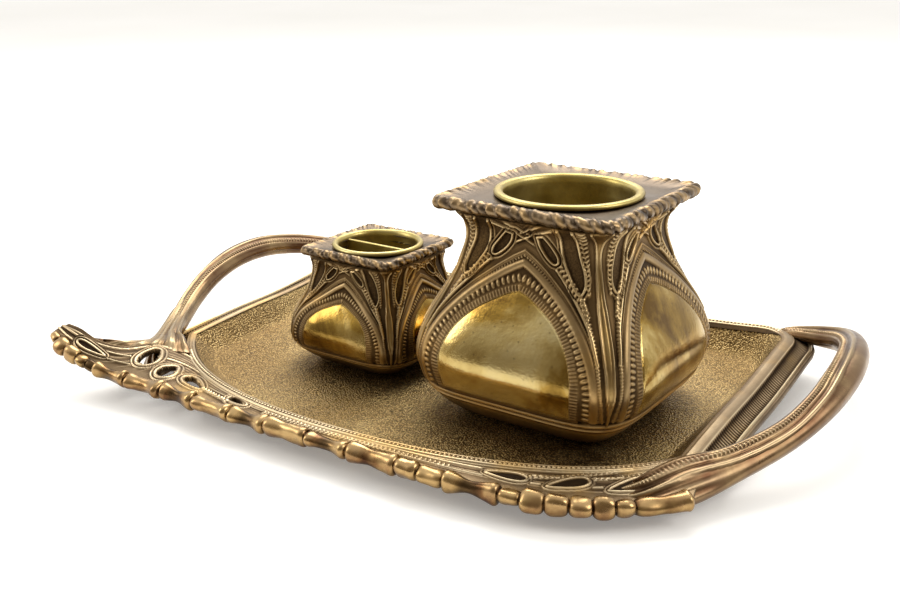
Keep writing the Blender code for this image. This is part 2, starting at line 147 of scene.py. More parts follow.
def blur(field, radius, wrap=(False, False)):
    """Two passes of a box average along each axis."""
    n = max(1, int(radius))
    for axis in (0, 1):
        mode = "wrap" if wrap[axis] else "edge"
        pad = [(0, 0), (0, 0)]
        pad[axis] = (n + 1, n)
        for _ in range(2):
            c = np.cumsum(np.pad(field, pad, mode=mode), axis=axis)
            hi = np.take(c, np.arange(2 * n + 1, c.shape[axis]), axis=axis)
            lo = np.take(c, np.arange(0, c.shape[axis] - 2 * n - 1), axis=axis)
            field = (hi - lo) / (2 * n + 1)
    return field


def tone_of(h, step, wrap=(False, False), gain=1.3):
    """Dark in the recesses, bright on what stands proud of its surroundings."""
    fine = h - blur(h, 0.9 / step, wrap)
    broad = h - blur(h, 3.0 / step, wrap)
    return np.clip(0.5 + gain * (0.8 * fine + 0.55 * broad), 0, 1)


def normals_of(p, wrap_u=False):
    ahead, behind = np.roll(p, -1, 1), np.roll(p, 1, 1)
    along = ahead - behind if wrap_u else np.gradient(p, axis=1)
    n = np.cross(along, np.gradient(p, axis=0))
    return n / (np.linalg.norm(n, axis=2, keepdims=True) + 1e-12)


# ---------------------------------------------------------------- meshes
def grid(name, p, mat, tone=None, polish=None, wrap_v=False, wrap_u=True, drop=None, body=BODY,
         replaces=(), flip=False, caps=False, normals=None):
    """Skins a grid of points (rows v, columns u) given in millimetres from the drawing's origin."""
    nv, nu = p.shape[:2]
    iv = np.arange(nv if wrap_v else nv - 1)
    iu = np.arange(nu if wrap_u else nu - 1)
    a, b = np.meshgrid(iv, iu, indexing="ij")
    a2, b2 = (a + 1) % nv, (b + 1) % nu
    quads = np.stack([a * nu + b, a * nu + b2, a2 * nu + b2, a2 * nu + b], -1).reshape(-1, 4)
    corners = [np.stack([b + i, a + k], -1) for i, k in ((0, 0), (1, 0), (1, 1), (0, 1))]
    uv = np.stack(corners, 2).reshape(-1, 4, 2) / np.array([nu, nv])
    if drop is not None:
        keep = ~drop.reshape(-1)[quads].all(axis=1)
        quads, uv = quads[keep], uv[keep]
    if flip:
        quads, uv = quads[:, ::-1], uv[:, ::-1]
    faces = quads.tolist()
    loops = [uv.reshape(-1, 2)]
    if caps:
        angle = np.arange(nu) * 2 * math.pi / nu
        for row in (0, nv - 1):
            ring = [row * nu + k for k in range(nu)]
            faces.append(ring[::-1] if (row == 0) != flip else ring)
            loops.append(CAP_UV * np.stack([np.cos(angle), np.sin(angle)], 1) + CAP_UV)
    mesh = bpy.data.meshes.new(name)
    mesh.from_pydata(((p.reshape(-1, 3) + DRAWING_ORIGIN) * MM).tolist(), [], faces)
    layer = mesh.uv_layers.new(name="OFBake")
    layer.data.foreach_set("uv", np.concatenate(loops).astype(np.float32).reshape(-1))
    for key, value in (("tone", tone), ("polish", polish)):
        if value is not None:
            field = mesh.attributes.new(key, "FLOAT", "POINT")
            value = np.broadcast_to(value, (nv, nu)).astype(np.float32)
            field.data.foreach_set("value", value.reshape(-1))
    mesh.shade_smooth()
    if normals is not None:
        mesh.normals_split_custom_set_from_vertices(normals.reshape(-1, 3).tolist())
    mesh.materials.append(mat)
    obj = bpy.data.objects.new(name, mesh)
    bpy.context.scene.collection.objects.link(obj)
    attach(obj, body)
    if replaces:
        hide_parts(*replaces)
    return obj


# ---------------------------------------------------------------- materials
def add_node(tree, kind, **inputs):
    """A shader node whose named inputs are set to numbers or linked."""
    n = tree.nodes.new("ShaderNode" + kind)
    for key, value in inputs.items():
        if isinstance(value, (int, float)):
            n.inputs[key].default_value = value
        else:
            tree.links.new(value, n.inputs[key])
    return n


def add_ramp(tree, fac, stops):
    n = add_node(tree, "ValToRGB", Fac=fac)
    while len(n.color_ramp.elements) < len(stops):
        n.color_ramp.elements.new(0.5)
    for element, (at, color) in zip(n.color_ramp.elements, stops):
        element.position = at
        element.color = (color, color, color, 1.0) if isinstance(color, (int, float)) else (*color, 1.0)
    return n.outputs["Color"]


class Nodes:
    """A Principled material and short calls for the nodes that feed it."""

    def __init__(self, name):
        self.mat = bpy.data.materials.new(name)
        self.mat.use_nodes = True
        self.tree = self.mat.node_tree
        self.shader = self.tree.nodes["Principled BSDF"]
        self.where = self.node("TexCoord").outputs["Object"]

    def link(self, a, b):
        self.tree.links.new(a, b)

    def node(self, kind, **inputs):
        return add_node(self.tree, kind, **inputs)

    def noise(self, scale, detail=4.0, rough=0.55, distort=0.0):
        return self.node("TexNoise", Scale=scale, Detail=detail, Roughness=rough, Distortion=distort,
                         Vector=self.where).outputs["Fac"]

    def voronoi(self, scale):
        return self.node("TexVoronoi", Scale=scale, Vector=self.where).outputs["Distance"]

    def attribute(self, name):
        n = self.node("Attribute")
        n.attribute_name = name
        return n.outputs["Fac"]

    def math(self, op, a, b, clamp=False):
        n = self.node("Math")
        n.operation = op
        n.use_clamp = clamp
        for socket, value in zip(n.inputs, (a, b)):
            if isinstance(value, (int, float)):
                socket.default_value = value
            else:
                self.link(value, socket)
        return n.outputs[0]

    def swing(self, fac, amount):
        """A value from 0 to 1 as a swing to both sides of zero."""
        return self.math("MULTIPLY", self.math("SUBTRACT", fac, 0.5), amount)

    def ramp(self, fac, *stops):
        return add_ramp(self.tree, fac, stops)

    def mix(self, fac, a, b):
        n = self.node("Mix")
        n.data_type = "RGBA"
        self.link(fac, n.inputs["Factor"])
        for socket, value in ((n.inputs[6], a), (n.inputs[7], b)):
            if isinstance(value, tuple):
                socket.default_value = (*value, 1.0)
            else:
                self.link(value, socket)
        return n.outputs[2]

    def bump(self, height, strength, distance):
        return self.node("Bump", Strength=strength, Distance=distance, Height=height).outputs["Normal"]

    def done(self, color, rough, normal=None, metallic=1.0):
        self.link(color, self.shader.inputs["Base Color"])
        self.link(rough, self.shader.inputs["Roughness"])
        self.shader.inputs["Metallic"].default_value = metallic
        if normal is not None:
            self.link(normal, self.shader.inputs["Normal"])
        return self.mat


def cast_material(name, stops, gold, rough_stops):
    """Patinated relief: the tone attribute sets recess or high spot, noise breaks it up."""
    n = Nodes(name)
    tone = n.math("ADD", n.attribute("tone"), n.swing(n.noise(95.0, 5.0, 0.6), 0.22), True)
    tone = n.math("ADD", tone, n.swing(n.noise(26.0, 3.0), 0.30), True)
    patch = n.ramp(n.noise(38.0, 3.0), (0.50, 0.0), (0.66, 1.0))
    color = n.mix(n.math("MULTIPLY", patch, n.math("MULTIPLY", tone, 0.75)), n.ramp(tone, *stops), gold)
    bright = n.ramp(n.noise(30.0, 6.0, 0.6, 0.6), (0.34, (0.13, 0.070, 0.014)), (0.45, (0.33, 0.205, 0.045)),
                    (0.56, (0.55, 0.42, 0.17)), (0.70, (0.62, 0.52, 0.28)))
    spots = n.ramp(n.voronoi(330.0), (0.05, 0.25), (0.16, 1.0))
    bright = n.mix(n.math("MULTIPLY", n.math("SUBTRACT", 1.0, spots), 0.6), bright, (0.10, 0.055, 0.02))
    polish = n.attribute("polish")
    color = n.mix(polish, color, bright)
    polished_rough = n.ramp(n.noise(60.0, 4.0), (0.35, 0.12), (0.7, 0.24))
    rough = n.mix(polish, n.ramp(tone, *rough_stops), polished_rough)
    return n.done(color, rough, n.bump(n.noise(900.0, 3.0, 0.6), 0.25, 0.0002))


def plain_metal(name, noise_scale, stops, rough, bump=0.12, grain=700.0, edge=None):
    """Mottled metal; with an edge colour, the tone attribute brightens high spots and darkens recesses."""
    n = Nodes(name)
    color = n.ramp(n.noise(noise_scale, 5.0, 0.6, 0.4), *stops)
    if edge:
        color = n.mix(n.ramp(n.attribute("tone"), (0.35, 0.0), (0.75, 1.0)), color, edge)
        color = n.mix(n.ramp(n.attribute("tone"), (0.12, 0.85), (0.42, 0.0)), color, (0.035, 0.02, 0.01))
    return n.done(color, n.ramp(n.noise(noise_scale * 2.3, 4.0), (0.3, rough[0]), (0.7, rough[1])),
                  n.bump(n.noise(grain, 3.0, 0.6), bump, 0.0002))


def stippled_floor(name):
    """Floor of the tray: a fine grain of bright points on brown, darker where it is not rubbed."""
    n = Nodes(name)
    cells = n.voronoi(1500.0)
    fine = n.noise(1400.0, 2.0, 0.7)
    speck = n.ramp(n.math("ADD", n.math("MULTIPLY", cells, 0.6), n.math("MULTIPLY", fine, 0.6)),
                   (0.40, (0.66, 0.49, 0.23)), (0.52, (0.34, 0.22, 0.085)), (0.68, (0.07, 0.038, 0.014)))
    wear = n.ramp(n.noise(17.0, 4.0, 0.6, 0.3), (0.36, (0.27, 0.175, 0.062)), (0.62, (0.52, 0.385, 0.17)))
    color = n.mix(n.ramp(n.noise(40.0, 3.0), (0.35, 0.50), (0.65, 0.78)), wear, speck)
    return n.done(color, n.ramp(n.noise(200.0, 3.0), (0.3, 0.30), (0.7, 0.48)), n.bump(cells, 0.75, 0.0005))


CAST = cast_material(
    "cast_relief",
    [(0.10, (0.030, 0.017, 0.007)), (0.34, (0.100, 0.060, 0.025)), (0.54, (0.200, 0.130, 0.058)),
     (0.74, (0.325, 0.225, 0.108)), (0.96, (0.52, 0.385, 0.20))],
    (0.50, 0.29, 0.085), [(0.2, 0.62), (0.8, 0.30)])
TRAY_CAST = cast_material(
    "cast_tray_rim",
    [(0.14, (0.030, 0.018, 0.009)), (0.36, (0.11, 0.070, 0.035)), (0.52, (0.24, 0.17, 0.095)),
     (0.72, (0.43, 0.33, 0.20)), (0.92, (0.66, 0.53, 0.33))],
    (0.56, 0.34, 0.10), [(0.2, 0.60), (0.8, 0.30)])
KNUCKLE = plain_metal("knuckled_rim", 75.0,
                      [(0.36, (0.10, 0.042, 0.022)), (0.47, (0.24, 0.125, 0.050)),
                       (0.60, (0.44, 0.285, 0.115))], (0.20, 0.38), edge=(0.52, 0.36, 0.17))
PLATE = plain_metal("jar_plate", 32.0, [(0.32, (0.10, 0.072, 0.046)), (0.55, (0.17, 0.125, 0.082)),
                                        (0.72, (0.26, 0.195, 0.125))], (0.30, 0.46),
                    edge=(0.44, 0.29, 0.13))
LINER = plain_metal("liner_brass", 55.0, [(0.30, (0.38, 0.285, 0.085)), (0.52, (0.52, 0.42, 0.155)),
                                          (0.72, (0.64, 0.54, 0.25))], (0.30, 0.46), bump=0.2,
                    grain=420.0)
HANDLE = plain_metal("handle_patina", 40.0, [(0.34, (0.105, 0.046, 0.023)), (0.48, (0.18, 0.105, 0.052)),
                                             (0.62, (0.29, 0.195, 0.095))], (0.24, 0.40),
                     edge=(0.42, 0.315, 0.18))
FLOOR = stippled_floor("stippled_floor")
UNDER = plain_metal("underside_brass", 40.0, [(0.3, (0.10, 0.07, 0.035)), (0.7, (0.22, 0.16, 0.08))],
                    (0.42, 0.6), bump=0.35, grain=300.0)
STEEL = plain_metal("turned_steel", 120.0, [(0.3, (0.32, 0.30, 0.28)), (0.7, (0.52, 0.50, 0.47))],
                    (0.28, 0.42))


# ---------------------------------------------------------------- jars
LARGE = {
    "name": "large", "at": (44.2, 2.8), "height": 75.0, "scale": 1.0, "n": (232, 262),
    "body": [(0.0, 27.0), (1.2, 29.5), (5.0, 34.0), (9.0, 37.2), (14.0, 40.2), (21.0, 42.2),
             (28.0, 41.0), (35.0, 37.9), (43.0, 33.4), (51.0, 29.5), (60.0, 27.0), (66.0, 27.4),
             (70.0, 30.2)],
    "plate": 33.4, "edge": 4.4, "dish": 2.0, "cup": 22.6, "lip": 25.0, "depth": 54.0,
    "zmap": ([0, 80], [0, 80]), "panel": 1.0, "facets": 14,
}
SMALL = {
    "name": "small", "at": (-36.0, 5.0), "height": 44.5, "scale": 0.66, "n": (168, 176),
    "body": [(0.0, 17.8), (1.2, 19.6), (5.0, 24.2), (9.5, 27.6), (14.0, 27.8), (19.0, 26.4),
             (24.0, 23.8), (29.0, 21.2), (35.0, 19.6), (38.5, 19.6), (40.8, 20.4)],
    "plate": 21.2, "edge": 3.4, "dish": 1.4, "cup": 15.8, "lip": 17.3, "depth": 32.0,
    "zmap": ([0, 13, 48, 56.6, 64.6, 70.0, 80], [0, 8.5, 26.3, 33.0, 38.3, 40.8, 45]), "panel": 0.93,
    "facets": 10,
}
JAR_TURN = np.array(Matrix.Rotation(math.radians(-2.5), 3, "Z"))
FOOT_Z = 4.3
ROPE_ROWS = 15                         # rows of points round the plate's rope edge
RETURN = (0.92, 0.92, 1.0)             # inner edge of a jar's mouth against its outer edge

# Pattern of one face of the large jar as (x, z) from the middle of the face; mirrored about it
PANEL_EDGE = [(0, 48.4), (3.5, 47.3), (7.3, 45.4), (14.7, 40.8), (20.8, 34.3), (24.1, 26.6),
              (24.6, 20.4), (23.8, 13)]
MILLED_EDGE = [(0, 50.6), (4.6, 49.1), (10, 46.5), (18.1, 41), (23.7, 34.6), (26.9, 27.1),
               (27.5, 21), (26.0, 11.5)]
BEADS = [(0, 52.4), (5.2, 50.7), (11.1, 47.7), (18.2, 42.6), (24.4, 35.3), (28.5, 27.3),
         (29.8, 21.3), (28.3, 10.5)]
RIDGE = [(0, 56.8), (3.8, 54.9), (8.5, 52), (16.4, 46.4), (23.7, 39.3), (29, 31.8),
         (31.5, 24.5), (31.6, 18), (30.0, 9.5)]
OUTER = [(0, 59.9), (4.8, 57.1), (11.2, 52.5), (18.3, 46.7), (25.8, 38.7), (31.1, 29.7),
         (33.2, 20.1), (31.6, 8.6)]
CROSSING = [(31.4, 31.5), (26.2, 40.8), (18.9, 49.4), (12.0, 56.4), (6.2, 61.3), (0, 64.8),
            (-7, 67.9), (-14, 70.4), (-20, 72)]
SECOND = [(24, 46.0), (18.5, 51.6), (12.6, 57.9), (7.4, 62.9), (1.5, 66.4), (-5, 69.3), (-12, 72)]
OUTER_DROP = [(12.4, 71), (13.2, 61.6), (16.6, 54.8), (19.5, 50.9), (21.3, 50.1), (22.0, 52.8),
              (21.1, 56.6), (18.9, 62.3), (17.4, 71)]
INNER_DROP = [(4.4, 65.8), (5.3, 62.9), (7.6, 59.9), (10.2, 58.0), (11.9, 58.1), (11.9, 60.0),
              (10.0, 62.6), (6.8, 66.3)]
TRAIL = [(12.2, 57.4), (13.6, 56.0), (16.4, 53.6), (18.9, 51.4), (22.2, 47.8), (25.2, 43.8)]
PEARLS = [(21.6, 49.6), (23.6, 45.4), (26.3, 41.0), (28.8, 36.8), (31.0, 31.9), (32.7, 26.3),
          (33.6, 20.1), (33.0, 12)]
TONGUE = [(20.4, 70.5), (20.1, 66.2), (20.4, 62.3), (21.2, 58.6), (22.2, 54.6), (23.6, 50.0)]
RIB_LINE = [(23.6, 72), (23.4, 66), (24.2, 56.4), (27.4, 45.3), (31.8, 34.7), (34.6, 26.3),
            (35.0, 16.2), (31.8, 6.0)]


def body_power(z, height):
    belly = smooth(z / (0.25 * height)) * smooth((0.8 * height - z) / (0.5 * height))
    return 6.0 - 1.6 * belly


class Face:
    """Grid over half of a jar's face, and pattern lines that follow its surface."""

    def __init__(self, jar):
        self.jar = jar
        self.scale = jar["scale"]
        self.amp = 0.55 + 0.45 * self.scale
        self.z_of, self.half_of = spline(jar["body"], 12).T
        self.m_of = run_length(self.z_of, self.half_of)
        nu, nv = jar["n"]
        m = np.linspace(0, self.m_of[-1], nv)
        z = np.interp(m, self.m_of, self.z_of)
        self.half = np.interp(z, self.z_of, self.half_of)
        self.power = body_power(z, jar["height"])
        reach = self.half * 2 ** (-1 / self.power)
        count = nu // 2 + 1
        rows_x, rows_q = [], []
        for a, n, c in zip(self.half, self.power, reach):
            x = c * np.linspace(0, 1, 160)
            q = run_length(x, (a ** n - x ** n) ** (1 / n))
            want = np.linspace(0, q[-1], count)
            rows_x.append(np.interp(want, q, x))
            rows_q.append(want)
        self.x, self.q = np.array(rows_x), np.array(rows_q)
        self.m = np.repeat(m[:, None], count, 1)
        self.z = z
        self.step = m[1]

    def line(self, points, steps=8):
        """Pattern points of the large jar as a curve on this jar's surface."""
        out = []
        big_z, big_half = spline(LARGE["body"], 12).T
        for x, z in points:
            here = float(np.interp(z, *self.jar["zmap"]))
            top = min(here, self.z_of[-1])
            half = float(np.interp(top, self.z_of, self.half_of))
            n = float(body_power(top, self.jar["height"]))
            reach = min(abs(x) * half / float(np.interp(min(z, big_z[-1]), big_z, big_half)), half * 0.985)
            xs = np.linspace(0, reach, 60)
            q = run_length(xs, (half ** n - xs ** n) ** (1 / n))[-1]
            m = float(np.interp(top, self.z_of, self.m_of)) + (here - top)
            out.append((math.copysign(q, x), m))
        return spline(out, steps)

    def near(self, points):
        """Distance from a pattern line, the length along it, its side, and its whole length."""
        return near(self.q, self.m, self.line(points))

    def level(self, z):
        """How far up the surface a height of the large jar's pattern lies."""
        return float(self.line([(0, z), (1, z)])[0, 1])


def tracery(face, h, out5):
    """Crossing lines above the arch, and nested chevrons in the lozenge over its apex."""
    s, amp, q, m = face.scale, face.amp, face.q, face.m
    for line, w, tall in ((CROSSING, 0.55 * s, 0.95), (SECOND, 0.42 * s, 0.70)):
        curve = face.line(line)
        for mirror in (1, -1):
            d = near(mirror * q, m, curve)[0]
            h = raised(h, tube(d, w, tall * amp))
            beside = (d > w) & (d < 2.0 * w) & (out5 > 0.9 * s)
            h = np.where(beside, h - 0.22 * amp * (1 - np.abs(d / w - 1.5) * 2), h)
    nested = (np.abs(q) < 4.2 * s) & (m > face.level(66.4) - 1.0 * s)
    return np.where(nested, h + 0.26 * amp * wave(m - 0.9 * np.abs(q), 1.5 * s), h)


def teardrops(face, h):
    """Drops with a sunk stippled ground and two outlines; also gives where they are sunk."""
    s, amp, q, m = face.scale, face.amp, face.q, face.m
    sunk = np.zeros_like(q)
    for loop, deep in ((OUTER_DROP, 1.0), (INNER_DROP, 0.85)):
        d, hole = from_loop(q, m, face.line(loop, 6))
        speck = 0.30 * RNG.random(q.shape)
        h = np.where(hole, -deep * amp * smooth((d - 0.3 * s) / (0.6 * s)) + speck, h)
        sunk = np.where(hole, smooth((d - 0.4 * s) / (0.5 * s)), sunk)
        h = np.where(~hole & (d < 1.7 * s), np.minimum(h, 0.1) - 0.15, h)
        h = raised(h, tube(d, 0.50 * s, 0.85 * amp))
        h = np.where(hole, h, raised(h, tube(d - 1.25 * s, 0.36 * s, 0.45 * amp)))
    return h, sunk


def strings(face, h):
    """Scalloped trails and a row of shrinking pearls that run down from the drops."""
    s, amp = face.scale, face.amp
    d, t, _, total = face.near(TRAIL)
    scallop = 0.5 + 0.5 * wave(t - 0.55 * d, 1.75 * s)
    mask = smooth(((1.7 - 0.9 * t / total) * s - d) / (0.3 * s)) * (t > 0.1) * (t < total - 0.05)
    h = raised(h, mask * (0.18 + 0.62 * scallop) * amp)
    d, t, _, total = face.near(PEARLS)
    share = t / total
    count = (total / s) * (0.52 * share + 0.36 * share ** 2)
    size = (1.0 - 0.55 * share) * s
    u = (count % 1 - 0.5) / ((0.52 + 0.72 * share) / s)
    pearl = np.sqrt(np.clip(1 - (u / size) ** 2 - (d / (size * 1.05)) ** 2, 0, 1))
    h = raised(h, pearl * 0.95 * amp * (1 - 0.4 * share))
    d, t, _, total = face.near(TONGUE)
    scallop = 0.5 + 0.5 * wave(t + 0.5 * d, 1.45 * s)
    mask = smooth(((1.75 - 1.2 * t / total) * s - d) / (0.25 * s))
    return raised(h, mask * (0.1 + 0.6 * scallop) * amp)


def shrink(points, k):
    return [(x * k, z) for x, z in points]


def face_relief(face):
    """Height in millimetres, polish, panel, rib and shade over half of a face."""
    s, amp, q, m = face.scale, face.amp, face.q, face.m
    k = face.jar["panel"]
    d0, t0, side0, _ = face.near(shrink(PANEL_EDGE, k))
    d2, _, side2, _ = face.near(shrink(MILLED_EDGE, (1 + k) / 2))
    d3, t3, _, _ = face.near(BEADS)
    d4, _, side4, _ = face.near(RIDGE)
    d5, t5, side5, _ = face.near(OUTER)
    dr, _, side_r, _ = face.near(RIB_LINE)
    out2, out4, out5 = signed(d2, side2), signed(d4, side4), signed(d5, side5)
    sill = face.level(13.0)
    panel = (side0 < 0) & (m > sill)
    edge = np.minimum(np.where(side0 < 0, d0, 0), np.maximum(m - sill, 0))
    over_sill = smooth((m - (sill - 3.4 * s)) / (0.8 * s))
    # fine lines that fill the ground between the arches and the corner rib
    fill = smooth(out5 / 1.2) * over_sill
    near_rib = smooth((9.0 * s - dr) / (5.0 * s)) * smooth((m - sill - 24 * s) / (8 * s))
    h = fill * (1 - near_rib) * (0.20 * wave(out5, 1.25 * s) - 0.16)
    h += fill * near_rib * (0.20 * wave(dr, 1.2 * s) - 0.16)
    # dark bead channel
    channel = smooth(np.minimum(out2, -out4 - 1.5 * s) / (0.5 * s) + 0.3) * over_sill
    h -= 0.75 * amp * channel
    bead = bead_row(d3, t3, 1.95 * s, 0.84 * s, 1.55 * s, 1.0) * over_sill
    h = raised(h, -0.75 * amp + 1.15 * amp * np.sqrt(bead))
    # milled band
    milled = (side2 < 0) & ~panel & (m > sill - 1.8 * s)
    soft = smooth(np.minimum(d2, 3.0) / (0.5 * s))
    h = np.where(milled, (0.12 + 0.16 * amp * wave(t0, 1.12 * s)) * soft - 0.35 * (1 - soft), h)
    # rounded ridge, bead row and the two thin lines beside it
    small_beads = bead_row(out5 + 0.75 * s, t5, 1.12 * s, 0.5 * s, 0.42 * s, 0.5 * amp)
    h = raised(h, tube(d4, 1.45 * s, 0.75 * amp) * over_sill - 0.05,
               (tube(d5, 0.42 * s, 0.28) + small_beads) * over_sill,
               tube(out5 - 0.75 * s, 0.34 * s, 0.42 * amp) * over_sill)
    h = tracery(face, h, out5)
    h, sunk = teardrops(face, h)
    h = strings(face, h)
    # corner rib: plain and smooth between its two thin lines
    rib = smooth(signed(dr, side_r) / (0.9 * s))
    h = raised(h * (1 - rib) + 0.34 * amp * rib, tube(dr, 0.42 * s, 0.62 * amp))
    # polished panel, and the mouldings under it
    bulge = 0.55 * amp * (1 - np.clip(1 - edge / (9.0 * s), 0, 1) ** 2)
    h = np.where(panel, -0.35 * amp * (1 - smooth(edge / (0.7 * s))) + 0.1 + bulge, h)
    under = (side_r < 0) & (dr > 0.6 * s) & (m < sill) & (m > sill - 1.5 * s) & ~milled
    h = np.where(under, -0.35 * amp, h)
    low = (side_r < 0) & (dr > 0.5 * s) & (m < sill - 1.2 * s)
    steps = tube(m - (sill - 2.2 * s), 0.6 * s, 0.55 * amp) + tube(m - (sill - 4.6 * s), 0.45 * s, 0.45 * amp)
    h = np.where(low, np.where(steps > 0, steps, -0.28 * amp), h)
    foot = smooth((sill - 6.0 * s - m) / (1.2 * s))
    h = h * (1 - foot) + 0.05 * foot
    polish = np.where(panel, smooth(edge / (0.35 * s)), 0) + 0.30 * rib * smooth((m - 6 * s) / 6)
    shade = -0.12 * channel + 0.28 * bead - sunk * (0.28 - 0.22 * RNG.random(q.shape))
    return h, np.clip(polish, 0, 1), panel, rib * (1 - foot), shade * (1 - rib)


def smooth_face(face, x):
    """Points of the plain body of a jar's front face, and their outward normals."""
    half, power = face.half[:, None], face.power[:, None]
    y = -(half ** power - np.abs(x) ** power) ** (1 / power)
    gx, gy = (np.sign(v) * np.abs(v) ** (power - 1) for v in (x, y))
    size = np.hypot(gx, gy)
    ones = np.ones_like(x)
    slope = np.gradient(face.half, face.z)[:, None]
    normal = unit(np.stack([gx / size, gy / size, -slope * ones], 2))
    return np.stack([x, y, face.z[:, None] * ones], 2), normal


def build_jar_body(jar):
    """Four faces in relief, which meet at the corner ribs."""
    face = Face(jar)
    h, polish, panel, rib, shade = face_relief(face)
    h *= smooth((face.m[-1, 0] - face.m) / 0.8) * 0.999 + 0.001
    h, polish, panel, rib, shade = (np.hstack([a[:, :0:-1], a]) for a in (h, polish, panel, rib, shade))
    tone = np.where(panel, 0.55, tone_of(h, face.step, gain=0.95))
    tone = tone * (1 - 0.75 * rib) + 0.60 * 0.75 * rib
    tone = np.clip(tone + shade, 0, 1)
    # painted shade: each face is darker towards its foot, where the jar stands on the tray
    tone = np.clip(tone - 0.20 * smooth((8.0 * face.scale - face.z[:, None]) / 6.0), 0, 1)
    p, normal = smooth_face(face, np.hstack([-face.x[:, :0:-1], face.x]))
    p = p + normal * h[..., None]
    # shading normals from the ring of four faces, so the corners show no seam
    quarter = np.array(Matrix.Rotation(math.pi / 2, 3, "Z"))
    ring = np.hstack([(p @ np.linalg.matrix_power(quarter, k).T)[:, :-1] for k in range(4)])
    normals = normals_of(ring, wrap_u=True)
    if (normals * ring)[..., :2].sum() < 0:
        normals = -normals
    last = p.shape[1] - 1
    for k, side in enumerate(("front", "right", "back", "left")):
        take = [(k * last + i) % (4 * last) for i in range(last + 1)]
        # a short return inwards at the mouth gives the wall its thickness
        part = ring[:, take]
        part = np.vstack([part, part[-1:] * RETURN]) @ JAR_TURN.T + (*jar["at"], FOOT_Z)
        hides = ["%s_jar_panel_%s" % (jar["name"], side)]
        if side == "front":
            hides.append(jar["name"] + "_jar_shell")
        rows = [*range(len(ring)), -1]
        grid("%s_jar_side_%s" % (jar["name"], side), part, CAST, tone[rows], polish[rows],
             wrap_u=False, replaces=hides, normals=(normals[:, take] @ JAR_TURN.T)[rows])


def square_ring(half, radius, count):
    """Points round a square with round corners, counter-clockwise."""
    flat = half - radius
    arc = math.pi / 2 * radius
    out = []
    for i in range(count // 4):
        d = (2 * flat + arc) * i / (count // 4)
        if d < flat:
            out.append((half, d))
        elif d < flat + arc:
            a = (d - flat) / radius
            out.append((flat + radius * math.cos(a), flat + radius * math.sin(a)))
        else:
            out.append((flat - (d - flat - arc), half))
    turn = np.array([[0, 1], [-1, 0]])
    return np.vstack([np.array(out) @ np.linalg.matrix_power(turn, k) for k in range(4)])


def build_plate(jar):
    """Dished top with a slanted rope edge."""
    s, half, edge, top, dish = (jar[key] for key in ("scale", "plate", "edge", "height", "dish"))
    count = 720 if s == 1 else 480
    r = edge / 2 - 0.1
    # reach, height, share of rope, angle round the rope
    profile = [(half - 7.5, top - edge - 0.3, 0, 0), (half - 4.0, top - edge + 0.1, 0, 0)]
    for k in range(ROPE_ROWS):
        a = math.radians(-90 + 205 * k / (ROPE_ROWS - 1))
        profile.append((half - r + r * math.cos(a), top - r + r * math.sin(a), 1, a))
    profile += [(half - 2.2 * r, top - 0.35 * dish, 0.2, 0),
                (half - 3.2 * r, top - 0.7 * dish, 0, 0), (half - 4.6 * r, top - 0.9 * dish, 0, 0)]
    rows, tones = [], []
    u = np.arange(count) / count
    turns = u * 2 * math.pi
    wobble = 0.28 * np.sin(turns * 7) + 0.22 * np.sin(turns * 17 + 1.0)
    rough_edge = np.sin(turns * 61) + np.sin(turns * 97 + 2.0)
    for i, (reach, z, rope, a) in enumerate(profile):
        ring = square_ring(reach, max(4.2 * s - (half - reach) * 0.7, 0.6), count)
        phase = (u * jar["facets"] * 4 + 0.075 * (i - 2) + wobble) % 1
        lump = np.clip(np.sin(math.pi * phase) * (1.25 - 0.45 * phase), 0, 1) ** 0.55
        push = rope * (0.72 * lump - 0.55 + 0.10 * rough_edge) * (0.6 + 0.4 * s)
        out = unit(ring) * (push * math.cos(a))[:, None]
        rows.append(np.column_stack([ring + out, z + push * math.sin(a)]))
        glint = 0.12 * np.sin(turns * 23 + 0.5 * i) * rope
        tones.append(np.clip(0.31 + 0.36 * (lump - 0.45) * rope + glint, 0, 1))
    circle = unit(square_ring(half, 4.2 * s, count)) * (jar["cup"] + 0.6)
    hole = np.column_stack([circle, np.full(count, top - dish)])
    last = rows[-1]
    for mix in np.arange(1, 11) / 10:
        rows.append(last * (1 - mix) + hole * mix)
        tones.append(np.full(count, 0.33))
    # painted shade: the bore wall round the liner darkens towards its foot
    rows.append(np.column_stack([circle, np.full(count, top - edge)]))
    tones.append(np.full(count, 0.2))
    p = np.array(rows) @ JAR_TURN.T + (*jar["at"], FOOT_Z + 0.3)
    grid(jar["name"] + "_plate", p, PLATE, np.array(tones), wrap_v=True,
         replaces=[jar["name"] + "_jar_plate"])


